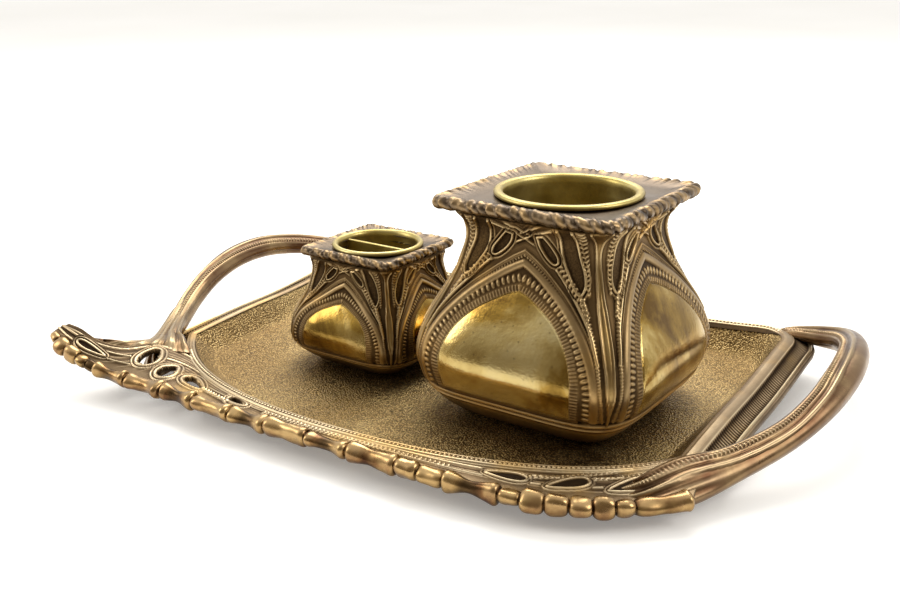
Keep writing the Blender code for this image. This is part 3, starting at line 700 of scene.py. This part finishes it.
def build_liner(jar):
    """Spun cup with a rolled lip and faint spinning marks."""
    cup, lip, depth = jar["cup"], jar["lip"], jar["depth"]
    inner = cup - 1.0
    top = 1.8
    low = top - depth
    profile = [(0.01, low + 1.0), (inner * 0.5, low + 1.0)]
    profile += [(inner - 4 + 4 * math.sin(a), low + 1.0 + 4 * (1 - math.cos(a)))
                for a in np.linspace(0, math.pi / 2, 7)]
    profile += [(inner + 0.035 * math.sin(k * 2.4), low + 5.0 + (depth - 6.4) * k / 29) for k in range(1, 30)]
    profile += [(inner + 0.25, top - 0.7), (inner + 0.7, top - 0.25), (inner + 1.2, top),
                (lip - 1.1, top + 0.02), (lip - 0.45, top - 0.25), (lip - 0.1, top - 0.8),
                (lip - 0.2, 0.45), (lip - 0.7, 0.1), (lip - 1.1, 0.0), (cup, 0.0), (cup, -3.0),
                (cup, low + 5.0), (cup - 1.6, low + 1.4), (cup - 5, low), (0.01, low)]
    around = 160
    a = np.arange(around) * 2 * math.pi / around
    r, z = np.array(profile).T[..., None]
    p = np.stack([r * np.cos(a), r * np.sin(a), np.repeat(z, around, 1)], 2)
    seat = FOOT_Z + 0.6 + jar["height"] - jar["dish"]
    grid(jar["name"] + "_cup", p + (*jar["at"], seat), LINER, body=jar["name"] + "_liner_body",
         replaces=[jar["name"] + "_liner"], flip=True)


# ---------------------------------------------------------------- tray
RIDGE_A, RIDGE_B, RIDGE_POWER = 111.0, 72.5, 2.25
END_X, TRAY_Y, REAR_Y, REAR_CORNER, FLOOR_Z = 101.0, 4.5, 83.5, 14.0, 4.0


def ridge_depth(x):
    share = np.minimum(np.abs(x), RIDGE_A - 0.01) / RIDGE_A
    return RIDGE_B * (1 - share ** RIDGE_POWER) ** (1 / RIDGE_POWER)


def ridge_outline(count):
    """Closed line of the ridge: straight ends and rear, round rear corners, bowed front."""
    corner = float(ridge_depth(END_X))
    pts = [(END_X, TRAY_Y - corner + (REAR_Y - REAR_CORNER - TRAY_Y + corner) * i / 60) for i in range(60)]
    pts += [(END_X - REAR_CORNER * (1 - math.cos(a)), REAR_Y - REAR_CORNER * (1 - math.sin(a)))
            for a in np.linspace(0, math.pi / 2, 30)[:-1]]
    pts += [(x, REAR_Y) for x in np.linspace(END_X - REAR_CORNER, 0, 40)]
    pts = np.array(pts)
    mirror = pts[::-1] * np.array([-1, 1])
    x = -END_X * np.cos(np.pi * np.arange(1, 200) / 200)
    front = np.column_stack([x, TRAY_Y - ridge_depth(x)])
    line, length = resample(np.vstack([pts, mirror[1:], front, pts[:1]]), count + 1)
    return line[:-1], length


def outward(line, soften):
    d = np.roll(line, -1, 0) - np.roll(line, 1, 0)
    n = np.column_stack([d[:, 1], -d[:, 0]])
    for _ in range(soften):
        n = (np.roll(n, 1, 0) + 2 * n + np.roll(n, -1, 0)) / 4
    return unit(n)


def ridge_height(x, y):
    along = smooth((y + 60.0) / 70.0)
    rise = 3.0 * smooth((y - 20.0) / 60.0) * (np.abs(x) / END_X) ** 3
    dip = smooth((y - 50.0) / 30.0) * (1 - (np.abs(x) / END_X) ** 2)
    return 10.0 + 2.5 * along + rise - dip


def build_pan():
    """Floor, inner and outer walls and foot ring, under the ridge strip."""
    line, _ = ridge_outline(480)
    nrm = outward(line, 12)
    x, y = line.T
    top = ridge_height(x, y)
    out_share = smooth(np.abs(nrm[:, 0]) * 1.6 - 0.55)

    def ring(inset, z, out=0.0, flange=0.0):
        shrunk = np.column_stack([x * (1 - inset / END_X), TRAY_Y + (y - TRAY_Y) * (1 - inset / RIDGE_B)])
        return np.column_stack([shrunk + nrm * (out + flange * out_share)[:, None], z + 0 * x])

    rings = [ring(inset, z) for inset, z in (
        (60, 1.4), (17.0, 1.4), (16.4, 0.9), (16, 0.05), (15.6, 0.0), (10.4, 0.0), (9.6, 0.25), (7.5, 1.6),
        (4.0, top * 0.34), (1.0, top - 6.5))]
    rings += [ring(0.0, top - 5.0, 0.6, 3.0), ring(0.0, top - 2.4, 0.3, 1.0)]
    for k in np.linspace(0, 1, 16):
        fall = 1 - smooth(k * 1.05) ** 0.8
        rings.append(ring(0.4 + 9.1 * k, FLOOR_Z + (top - 0.3 - FLOOR_Z) * fall))
    rings += [ring(inset, FLOOR_Z) for inset in (12, 18, 26, 36, 46, 56, 60)]
    grid("tray_floor", np.array(rings), FLOOR, replaces=["tray_pan"], flip=True, caps=True)


def build_ridge():
    """Ridge strip: milled bead line in front, flat bar and combed groove at the ends."""
    count, rows = 2200, 42
    line, length = ridge_outline(count)
    nrm = outward(line, 60)
    x, y = line.T
    top = ridge_height(x, y)
    end = smooth(np.abs(nrm[:, 0]) * 1.7 - 0.6)
    t = np.arange(count) / count * length
    lo, hi = -2.6 + 1.3 * end, 3.0 + 7.6 * end
    d = lo + (hi - lo) * np.linspace(0, 1, rows)[:, None]
    beads = bead_row(d - 0.25, t, length / round(length / 1.45), 0.62, 0.66, 0.55)
    front = raised(tube(d + 1.0, 0.5, 0.42), beads, tube(d - 1.45, 0.5, 0.45)) + tube(d - 2.55, 0.35, 0.35)
    front -= 0.55 * smooth((-d - 0.2) / 2.8) + 1.1 * smooth((d - 1.9) / 1.2)
    comb = 0.26 * wave(t + 0.5 * d, length / round(length / 1.5))
    bar = np.where(x > 0, 3.1, 1.5)
    groove = smooth((d - bar - 0.2) / 0.5) * smooth((9.0 - d) / 0.5)
    ends = (-0.5 * smooth((-d - 0.3) / 3.0) + 0.25 * smooth((d + 0.3) / 0.5) * smooth((bar - d) / 0.5)
            - groove * (0.95 - comb) - 0.35 * smooth((d - 9.4) / 0.6) + tube(d - 9.35, 0.5, 0.4)
            + tube(d - bar - 0.25, 0.4, 0.25))
    h = front * (1 - end) + ends * end
    z = top - 2.6 * smooth(d / 10.0) * end - 1.4 * smooth((-d - 1.2) / 2.4) + h
    tone = tone_of(h, 0.3, wrap=(False, True), gain=1.2)
    tone = np.where((end > 0.5) & (d < bar) & (d > -0.2), 0.55, tone)
    p = [np.column_stack([line + nrm * reach[:, None], height]) for reach, height in zip(d, z)]
    # the outer edge turns down and back under
    p += [np.column_stack([line + nrm * (hi + off)[:, None], z[-1] + fall])
          for off, fall in ((0.35, -0.9), (0.1, -2.2), (-1.2, -3.2), (-3.0, -3.4))]
    tone = np.vstack([tone, np.full((4, count), 0.4)])
    grid("tray_ridge", np.array(p), TRAY_CAST, tone, polish=0.0)


RIM_PATH = [(-131.0, -72.0, 18.5), (-122.0, -75.0, 15.5), (-110.0, -75.5, 12.0),
            (-97.0, -74.5, 9.6), (-78.0, -73.0, 8.6), (-52.0, -74.0, 8.2), (-20.0, -74.8, 8.2),
            (20.0, -75.5, 8.2), (52.0, -75.0, 7.8), (74.0, -72.0, 7.6), (90.0, -64.5, 7.0),
            (102.0, -55.5, 6.8), (110.5, -47.0, 7.6)]
HORN_EDGE = [(-127.0, -67.5, 21.0), (-121.0, -67.0, 20.0), (-113.0, -66.0, 16.5),
             (-105.0, -61.5, 14.2), (-99.0, -53.0, 13.8)]
RIM_R = 3.15
HORN_SHARE = 0.245                     # part of the web's inner edge that belongs to the horn
EDGE_REACH = 0.34                       # points this near an opening's outline move onto it
# Pierced drops, sunk drops: centre, length, width, heading of the point in degrees
HOLES = [((-92.5, -60.0), 12.5, 7.2, 108.0), ((-80.0, -63.8), 9.0, 6.2, 95.0),
         ((-67.0, -64.6), 11.5, 4.4, -20.0), ((-43.2, -68.0), 9.0, 2.6, -12.0)]
RECESSES = [((60.3, -66.0), 13.0, 4.0, 190.0), ((77.7, -60.4), 13.0, 4.8, 226.0),
            ((94.0, -51.0), 16.0, 5.6, 232.0), ((-112.0, -70.6), 13.0, 2.4, 4.0)]
# Serrated strings that trail from the sunk drops and along the ridge
STRINGS = [[(66.0, -63.6), (74.0, -58.6), (82.0, -51.6), (90.0, -44.2), (97.0, -37.6)],
           [(82.6, -55.0), (88.5, -50.0), (95.0, -44.0), (101.0, -37.0)],
           [(-30.0, -70.3), (6.0, -71.6), (44.0, -70.0)], [(-62.0, -66.0), (-54.0, -68.0), (-46.0, -69.8)]]


def drop_outline(at, length, width, heading):
    a = np.linspace(0, 2 * math.pi, 49)[:-1]
    along = 0.5 * length * np.cos(a)
    side = 0.5 * width * np.sin(a) * (1 - 0.45 * np.cos(a))
    c, s = math.cos(math.radians(heading)), math.sin(math.radians(heading))
    return np.column_stack([at[0] + along * c - side * s, at[1] + along * s + side * c])


def web_curves(count):
    """The web's two long edges: under the rim, and from the horn along the ridge."""
    rim, _ = resample(spline(RIM_PATH, 20), count)
    horn_end = int(count * HORN_SHARE)
    horn_line, _ = resample(spline(HORN_EDGE, 20), horn_end)
    x = np.linspace(HORN_EDGE[-1][0], 105.5, count - horn_end + 1)[1:]
    y = TRAY_Y - ridge_depth(np.minimum(np.abs(x), 105.0)) + 1.2
    inner = np.column_stack([x, y, ridge_height(x, y) - 1.6])
    blend = smooth(np.arange(len(x)) / (0.07 * count))[:, None]
    inner = np.vstack([horn_line, np.array(HORN_EDGE[-1]) * (1 - blend) + inner * blend])
    for _ in range(30):
        inner[1:-1] = (inner[:-2] + 2 * inner[1:-1] + inner[2:]) / 4
    return rim, inner


def web_relief(x, y, jj, width):
    """Height over the web, where it is pierced, where it is sunk, and the pierced outlines."""
    depth_in = jj * width
    h = 0.20 * wave(depth_in, 2.6) + 0.08 * np.cos(2 * math.pi * depth_in / 0.95 + 1)
    h -= 0.35 * smooth((jj - 0.55) / 0.4)
    h += tube(depth_in - 1.9, 0.55, 0.5)
    h = raised(h, tube((jj - 0.33) * width, 0.55, 0.6), tube((jj - 0.58) * width, 0.45, 0.6))
    pierced = np.zeros(h.shape, bool)
    sunk = np.zeros(h.shape)
    outlines = [drop_outline(*spec) for spec in HOLES]
    for loop in outlines:
        d, hit = from_loop(x, y, loop)
        pierced |= hit
        h = np.where(~hit & (d < 2.6), np.minimum(h, 0.05), h)
        h = np.where(hit, h, raised(h, tube(d - 0.55, 0.6, 0.5), tube(d - 2.0, 0.4, 0.4)))
    for spec in RECESSES:
        d, hit = from_loop(x, y, drop_outline(*spec))
        h = np.where(hit, -1.1 * smooth(d / 0.8) + 0.1 * RNG.random(x.shape), h)
        h = np.where(~hit & (d < 1.8), np.minimum(h, 0.0), h)
        h = raised(h, tube(d, 0.5, 0.65))
        h = np.where(hit, h, raised(h, tube(d - 1.2, 0.35, 0.35)))
        sunk = np.where(hit, smooth(d / 0.8), sunk)
    for string in STRINGS:
        d, t, _, total = near(x, y, spline(string, 12))
        mask = smooth((1.05 - d) / 0.25) * (t > 0.05) * (t < total - 0.05)
        h = raised(h, mask * (0.15 + 0.6 * (((t + 0.6 * d) / 1.6) % 1)))
    return h, pierced, sunk, outlines


def build_apron():
    """Web between ridge and rim: ribs that follow it, pierced and sunk drops, serrated strings."""
    count, across = 770, 64
    rim, inner = web_curves(count)
    share = np.linspace(0, 1, across)
    j = share[None, :, None]
    p = inner[:, None, :] * (1 - j) + rim[:, None, :] * j
    x, y = p[..., 0].copy(), p[..., 1].copy()
    width = np.linalg.norm(rim - inner, axis=1)[:, None]
    h, pierced, sunk, outlines = web_relief(x, y, np.repeat(share[None], count, 0), width)
    # the points nearest each opening move onto its outline for a clean edge
    for loop in outlines:
        dense, _ = resample(np.vstack([loop, loop[:1]]), 400)
        low, high = loop.min(0) - 1, loop.max(0) + 1
        box = (x > low[0]) & (x < high[0]) & (y > low[1]) & (y < high[1])
        for a, b in np.argwhere(box & pierced):
            d2 = ((dense - (x[a, b], y[a, b])) ** 2).sum(1)
            if d2.min() < EDGE_REACH ** 2:
                p[a, b, :2] = dense[d2.argmin()]
                pierced[a, b] = False
                h[a, b] = 0.3
    normal = unit(np.cross(np.gradient(rim, axis=0), rim - inner))[:, None]
    normal = np.where(normal[..., 2:] < 0, -normal, normal)
    upper = p + normal * (0.8 + h + 0.5 * np.sin(math.pi * share))[..., None]
    lower = p - normal * 0.4
    tone = np.clip(tone_of(h, 0.3, gain=1.0) - 0.35 * sunk, 0, 1)
    web = grid("tray_web", np.hstack([upper, lower[:, ::-1]]), TRAY_CAST,
               np.hstack([tone, np.full(tone.shape, 0.4)]), polish=0.0,
               drop=np.hstack([pierced, pierced[:, ::-1]]), replaces=["tray_apron"], caps=True)
    close_openings(web, across)


def close_openings(web, across):
    """Walls between the upper and lower edges of the pierced drops."""
    bm = bmesh.new()
    bm.from_mesh(web.data)
    bm.verts.ensure_lookup_table()
    width = 2 * across
    made = set()
    for e in [e for e in bm.edges if e.is_boundary]:
        a, b = e.verts[0].index, e.verts[1].index
        if a % width >= across or b % width >= across:
            continue
        below = [i // width * width + width - 1 - i % width for i in (b, a)]
        key = tuple(sorted((a, b, *below)))
        if len(set(key)) == 4 and key not in made:
            made.add(key)
            bm.faces.new([bm.verts[i] for i in (a, b, *below)])
    loose = [v for v in bm.verts if not v.link_faces]
    bmesh.ops.delete(bm, geom=loose, context="VERTS")
    bmesh.ops.recalc_face_normals(bm, faces=bm.faces)
    bm.to_mesh(web.data)
    bm.free()
    web.data.shade_smooth()


# Knuckles from the tip of the horn: length, swelling of each end, waist, fullness
KNUCKLES = [
    (5.5, 0.92, 0.92, 0.95), (6.2, 1.0, 1.0, 1.0), (6.2, 1.0, 0.95, 0.95), (4.6, 0.8, 0.8, 0.8),
    (3.8, 0.62, 0.62, 0.62), (14.5, 1.0, 1.2, 0.66), (16.5, 0.95, 1.25, 0.78), (15.5, 1.05, 1.2, 0.58),
    (17.0, 0.9, 1.2, 0.80), (15.5, 1.0, 1.15, 0.60), (17.0, 1.15, 1.05, 0.86), (16.0, 0.95, 1.15, 0.62),
    (18.0, 1.1, 1.1, 0.74), (7.5, 1.05, 1.05, 1.05), (8.5, 0.85, 0.9, 0.85), (17.5, 1.2, 1.15, 0.58),
    (6.2, 0.85, 0.85, 0.85), (6.8, 1.0, 1.0, 1.05), (6.6, 1.0, 1.0, 1.05), (6.4, 1.0, 1.0, 1.05),
    (6.2, 0.95, 0.95, 1.0), (5.4, 0.9, 0.9, 0.92), (17.0, 0.82, 1.1, 0.78)]


def knuckle_profile(length, t):
    """Radius along the rim: bones with swollen ends and a waist, and single round knobs."""
    total = sum(k[0] for k in KNUCKLES)
    r = np.full(t.shape, 0.45)
    phase = np.zeros(t.shape)
    start = 0.0
    for i, (size, first, last, waist) in enumerate(KNUCKLES):
        size *= length / total
        w = (t - start) / size
        hit = (w >= 0) & (w <= 1)
        w = np.clip(w, 0, 1)
        gap = np.minimum(w, 1 - w) * size
        ends = np.sqrt(np.clip(1 - (1 - gap / 2.6).clip(0, 1) ** 2.4, 0, 1))
        along = first + (last - first) * w
        belly = along + (waist - along) * np.sin(math.pi * w) ** 1.3
        r = np.where(hit, 0.52 + (belly - 0.52) * ends, r)
        phase = np.where(hit, i * 2.399, phase)
        start += size
    return r, phase


def build_rim():
    """Knuckled rim: lumpy bones and knobs along the apron's lower edge."""
    count, around = 1900, 44
    rim, length = resample(spline(RIM_PATH, 24), count)
    t = np.linspace(0, length, count)
    r, phase = knuckle_profile(length, t)
    tangent = unit(np.gradient(rim, axis=0))
    side = unit(np.cross(tangent, UP))
    over = np.cross(side, tangent)
    a = np.arange(around) * 2 * math.pi / around
    taper = np.minimum(1.0, 0.62 + 0.38 * smooth(t / 10.0))
    lump = 0.03 * np.sin(t * 0.9 + 0.7)
    shape = 1 + 0.10 * np.sin(2 * a + phase[:, None]) + 0.04 * np.sin(3 * a + t[:, None] * 0.35)
    end = np.sqrt(np.clip(1 - (1 - np.minimum(t, length - t) / 2.2).clip(0, 1) ** 2, 0.0004, 1))
    radius = (RIM_R * r * taper * end)[:, None] * (shape + lump[:, None])
    spoke = side[:, None] * np.cos(a)[:, None] + over[:, None] * np.sin(a)[:, None]
    p = rim[:, None] + radius[..., None] * spoke
    # lighter on the swollen bone ends; the sin(a) term is a painted highlight along the upper side of the rim
    # and painted shade along its underside
    tone = np.clip((r - 0.56) / 0.30, 0, 1)[:, None] * (0.44 + 0.16 * np.sin(a))
    grid("tray_knuckled_rim", p, KNUCKLE, tone, caps=True)


SHOULDER = [
    [(-117, -66.0, 19.4), (-111.2, -62.0, 16.4), (-108.8, -53.5, 12.6), (-110.3, -43.0, 9.6),
     (-118.5, -27.6, 10.2), (-127.3, -9.2, 15.4)],
    [(-109, -64.0, 16.6), (-104.8, -57.0, 14.4), (-105.3, -49.5, 12.6), (-108.3, -42.7, 11.6),
     (-117.4, -27.4, 12.4), (-126.0, -9.2, 16.9)],
    [(-101, -59.5, 14.7), (-99.8, -52.7, 14.2), (-102.2, -46.5, 13.4), (-105.8, -41.7, 13.0),
     (-115.7, -26.5, 13.5), (-124.6, -8.4, 17.4)],
    [(-93.5, -52.0, 13.9), (-96.0, -47.5, 14.1), (-99.2, -43.6, 14.0), (-103.0, -40.1, 13.9),
     (-113.3, -25.3, 14.1), (-122.5, -7.5, 17.2)],
    [(-86, -46.8, 12.9), (-91.5, -43.2, 13.4), (-96.0, -40.2, 13.9), (-100.0, -37.6, 14.3),
     (-110.8, -23.9, 14.3), (-120.4, -6.6, 16.6)]]


def build_shoulder():
    """Fluted skin where the left handle flows into the horn and along the ridge."""
    count, across = 260, 90
    lines = np.array([resample(spline(c, 16), count)[0] for c in SHOULDER])
    rows = np.array([resample(spline(lines[:, k], 30), across)[0] for k in range(count)])
    v = np.linspace(0, 1, across) * np.ones((count, 1))
    u = np.linspace(0, 1, count)[:, None] * np.ones(across)
    flute = 0.5 + 0.5 * np.cos(2 * math.pi * (v * 5.0 + 0.25 * np.sin(u * 3.0)))
    border = smooth(np.minimum(v, 1 - v) / 0.05)
    sink = smooth(u / 0.10) * smooth((1 - u) / 0.25)
    h = (0.9 * flute ** 0.8 * sink + 0.10 * np.cos(2 * math.pi * v * 18)) * border
    normal = normals_of(rows)
    normal = np.where(normal[..., 2:] < 0, -normal, normal)
    foot = 1 - smooth(u / 0.17)
    upper = rows + normal * (h - 0.7 * (1 - sink) - 1.1 * foot + 0.3)[..., None]
    lower = rows - normal * 2.2
    tone = np.clip(0.30 + 0.42 * flute * border, 0, 1)
    grid("tray_shoulder", np.hstack([upper, lower[:, ::-1]]), HANDLE,
         np.hstack([tone, np.full(tone.shape, 0.35)]), caps=True)


# Right handle from front to rear: x, y, z, half width, half thickness, tilt in degrees
HANDLE_PATH = [(90.0, -57.5, 6.0, 3.0, 0.8, -15.0), (97.5, -53.5, 7.4, 5.8, 1.8, -32.0),
               (105.5, -41.3, 9.1, 7.2, 3.0, -40.0), (114.7, -25.8, 10.7, 5.5, 3.4, -38.0),
               (124.1, -7.6, 14.3, 4.8, 3.7, -30.0), (129.7, 9.5, 19.0, 5.1, 3.9, -16.0),
               (131.7, 26.8, 22.8, 5.6, 4.0, 0.0), (130.8, 43.2, 23.7, 5.4, 4.1, 10.0),
               (127.6, 58.4, 22.0, 4.9, 4.0, 18.0), (121.6, 71.9, 19.1, 4.9, 3.8, 18.0),
               (112.3, 80.5, 16.1, 5.2, 3.2, 10.0), (103.0, 83.4, 14.2, 3.8, 2.2, 0.0),
               (94.0, 84.2, 12.8, 2.4, 1.2, 0.0), (84.0, 84.0, 11.9, 1.4, 0.8, 0.0)]


def build_handle(name, mirror, node):
    """Looped handle: a beaded ledge inside, a crest line, and a plain outer face."""
    count, around = 620, 96
    line, length = resample(spline(HANDLE_PATH, 20), count)
    centre = line[:, :3]
    half_wide, half_thick, tilt = (line[:, k][:, None] for k in (3, 4, 5))
    tangent = unit(np.gradient(centre, axis=0))
    side = unit(np.cross(tangent, UP))
    over = np.cross(side, tangent)
    c, s = np.cos(np.radians(tilt)), np.sin(np.radians(tilt))
    wide = side * c + over * s
    thick = (over * c - side * s)[:, None]
    a = np.arange(around) * 2 * math.pi / around
    ca, sa = np.cos(a), np.sin(a)
    size = (np.abs(ca) ** 2.6 + np.abs(sa) ** 2.6) ** (-1 / 2.6)
    across = size * ca * half_wide
    upper = (size * sa > 0) * np.ones((count, 1))
    t = (np.arange(count) / (count - 1) * length)[:, None]
    foot = 1 - smooth(t / 62.0)
    tail = smooth((t - (length - 34)) / 30)
    # beaded border on the ledge, thin lines each side of it, and the crest
    border = across + half_wide - 2.3
    h = raised(bead_row(border, t, 1.6, 0.72, 0.85, 0.75), tube(border - 1.25, 0.4, 0.4),
               tube(border + 1.2, 0.4, 0.4), tube(border - 3.6, 0.8, 0.55))
    h = upper * (h - 0.35 * smooth((3.0 - border) / 0.6))
    # ribs that run up from the apron and die out along the handle
    ribs = 0.55 * np.cos(2 * math.pi * across / 3.3 + 0.6)
    h = h * (1 - 0.85 * foot) + upper * foot * ribs
    h += upper * tail * 0.35 * wave(across, 2.6)
    out = half_thick * size * sa + h * upper
    p = centre[:, None] + wide[:, None] * across[..., None] + thick * out[..., None]
    tone = np.where(upper > 0, np.clip(0.42 + 0.55 * (h - blur(h, 3)), 0, 1), 0.42)
    tone = np.clip(tone * (1 - 0.35 * foot) + (0.5 + 0.9 * (h - blur(h, 4))) * 0.35 * foot, 0, 1)
    if mirror:
        p[..., 0] *= -1
    grid(name, p, HANDLE, tone, replaces=[node], caps=True, flip=not mirror)


# ---------------------------------------------------------------- carried-over nodes and set
def finish_nodes():
    """Materials of the CAD nodes that stay in view."""
    finishes = {"small_liner_divider": LINER}
    for jar in ("large", "small"):
        finishes.update({jar + "_jar_base": UNDER, jar + "_jar_screw": STEEL, jar + "_jar_nut": STEEL})
    for name, mat in finishes.items():
        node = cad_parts[name]
        if node.material_slots:
            for entry in node.material_slots:
                entry.material = mat
        else:
            node.data.materials.append(mat)


def build_stage():
    size = 6.0
    mesh = bpy.data.meshes.new("floor")
    corners = [(-size, -size, 0), (size, -size, 0), (size, size, 0), (-size, size, 0)]
    mesh.from_pydata(corners, [], [(0, 1, 2, 3)])
    floor = bpy.data.objects.new("floor", mesh)
    floor.location.z = -0.0002
    n = Nodes("pale_floor")
    n.shader.inputs["Emission Color"].default_value = (1.0, 0.99, 0.97, 1.0)
    n.shader.inputs["Emission Strength"].default_value = 0.22
    n.done(n.ramp(n.noise(3.0, 2.0), (0.3, (0.84, 0.83, 0.80)), (0.7, (0.90, 0.89, 0.87))),
           n.ramp(n.noise(5.0), (0.3, 0.75), (0.7, 0.85)), metallic=0.0)
    mesh.materials.append(n.mat)
    bpy.context.scene.collection.objects.link(floor)
LIT_POINT = Vector((0, 0, 0.03))


def add_area(name, location, size, power, color=(1, 1, 1)):
    light = bpy.data.lights.new(name, "AREA")
    light.shape = "RECTANGLE"
    light.size, light.size_y = size
    light.energy = power
    light.color = color
    obj = bpy.data.objects.new(name, light)
    obj.location = location
    obj.rotation_euler = (LIT_POINT - Vector(location)).to_track_quat("-Z", "Y").to_euler()
    bpy.context.scene.collection.objects.link(obj)


def build_light():
    """A soft sky, brighter at the rear, and three soft boxes."""
    world = bpy.data.worlds.new("soft")
    world.use_nodes = True
    tree = world.node_tree
    back = tree.nodes["Background"]
    facing = add_node(tree, "VectorMath", Vector=add_node(tree, "TexCoord").outputs["Generated"])
    facing.operation = "DOT_PRODUCT"
    facing.inputs[1].default_value = (-0.50, 0.78, 0.38)
    share = add_node(tree, "Math", Value=facing.outputs["Value"])
    share.operation = "MULTIPLY_ADD"
    share.inputs[1].default_value = share.inputs[2].default_value = 0.5
    sky = add_ramp(tree, share.outputs[0], [(0.0, (0.20, 0.165, 0.12)), (0.38, (0.30, 0.26, 0.20)),
                                            (0.62, (0.95, 0.94, 0.92))])
    tree.links.new(sky, back.inputs["Color"])
    back.inputs["Strength"].default_value = 1.12
    bpy.context.scene.world = world
    add_area("key", (-0.30, 0.55, 0.85), (0.8, 0.6), 9.0, (1.0, 0.985, 0.96))
    add_area("fill", (0.75, 0.10, 0.55), (0.4, 0.4), 2.5)
    add_area("left", (-0.75, -0.45, 0.45), (0.25, 0.5), 2.0, (1.0, 0.97, 0.92))


CAMERA_AT = (0.2011, -0.3222, 0.1616)
CAMERA_TURN, CAMERA_DOWN, CAMERA_ROLL = math.radians(32.91), math.radians(18.60), math.radians(-0.51)


def build_camera():
    forward = Vector((-math.sin(CAMERA_TURN) * math.cos(CAMERA_DOWN),
                      math.cos(CAMERA_TURN) * math.cos(CAMERA_DOWN), -math.sin(CAMERA_DOWN)))
    right = Vector((math.cos(CAMERA_TURN), math.sin(CAMERA_TURN), 0.0))
    up = right.cross(forward)
    c, s = math.cos(CAMERA_ROLL), math.sin(CAMERA_ROLL)
    data = bpy.data.cameras.new("camera")
    data.lens, data.sensor_width = 43.91, 36.0
    data.shift_x, data.shift_y = 0.00856, -0.0041
    data.clip_start, data.clip_end = 0.01, 20.0
    cam = bpy.data.objects.new("camera", data)
    rot = Matrix((right * c + up * s, up * c - right * s, -forward)).transposed()
    cam.matrix_world = Matrix.Translation(CAMERA_AT) @ rot.to_4x4()
    bpy.context.scene.collection.objects.link(cam)
    bpy.context.scene.camera = cam


build_camera()
build_light()
build_stage()
for jar in (LARGE, SMALL):
    build_jar_body(jar)
    build_plate(jar)
    build_liner(jar)
build_pan()
build_ridge()
build_apron()
build_rim()
build_handle("handle_right", False, "tray_handle_right")
build_handle("handle_left", True, "tray_handle_left")
build_shoulder()
finish_nodes()
bpy.context.scene.view_settings.view_transform = "Standard"
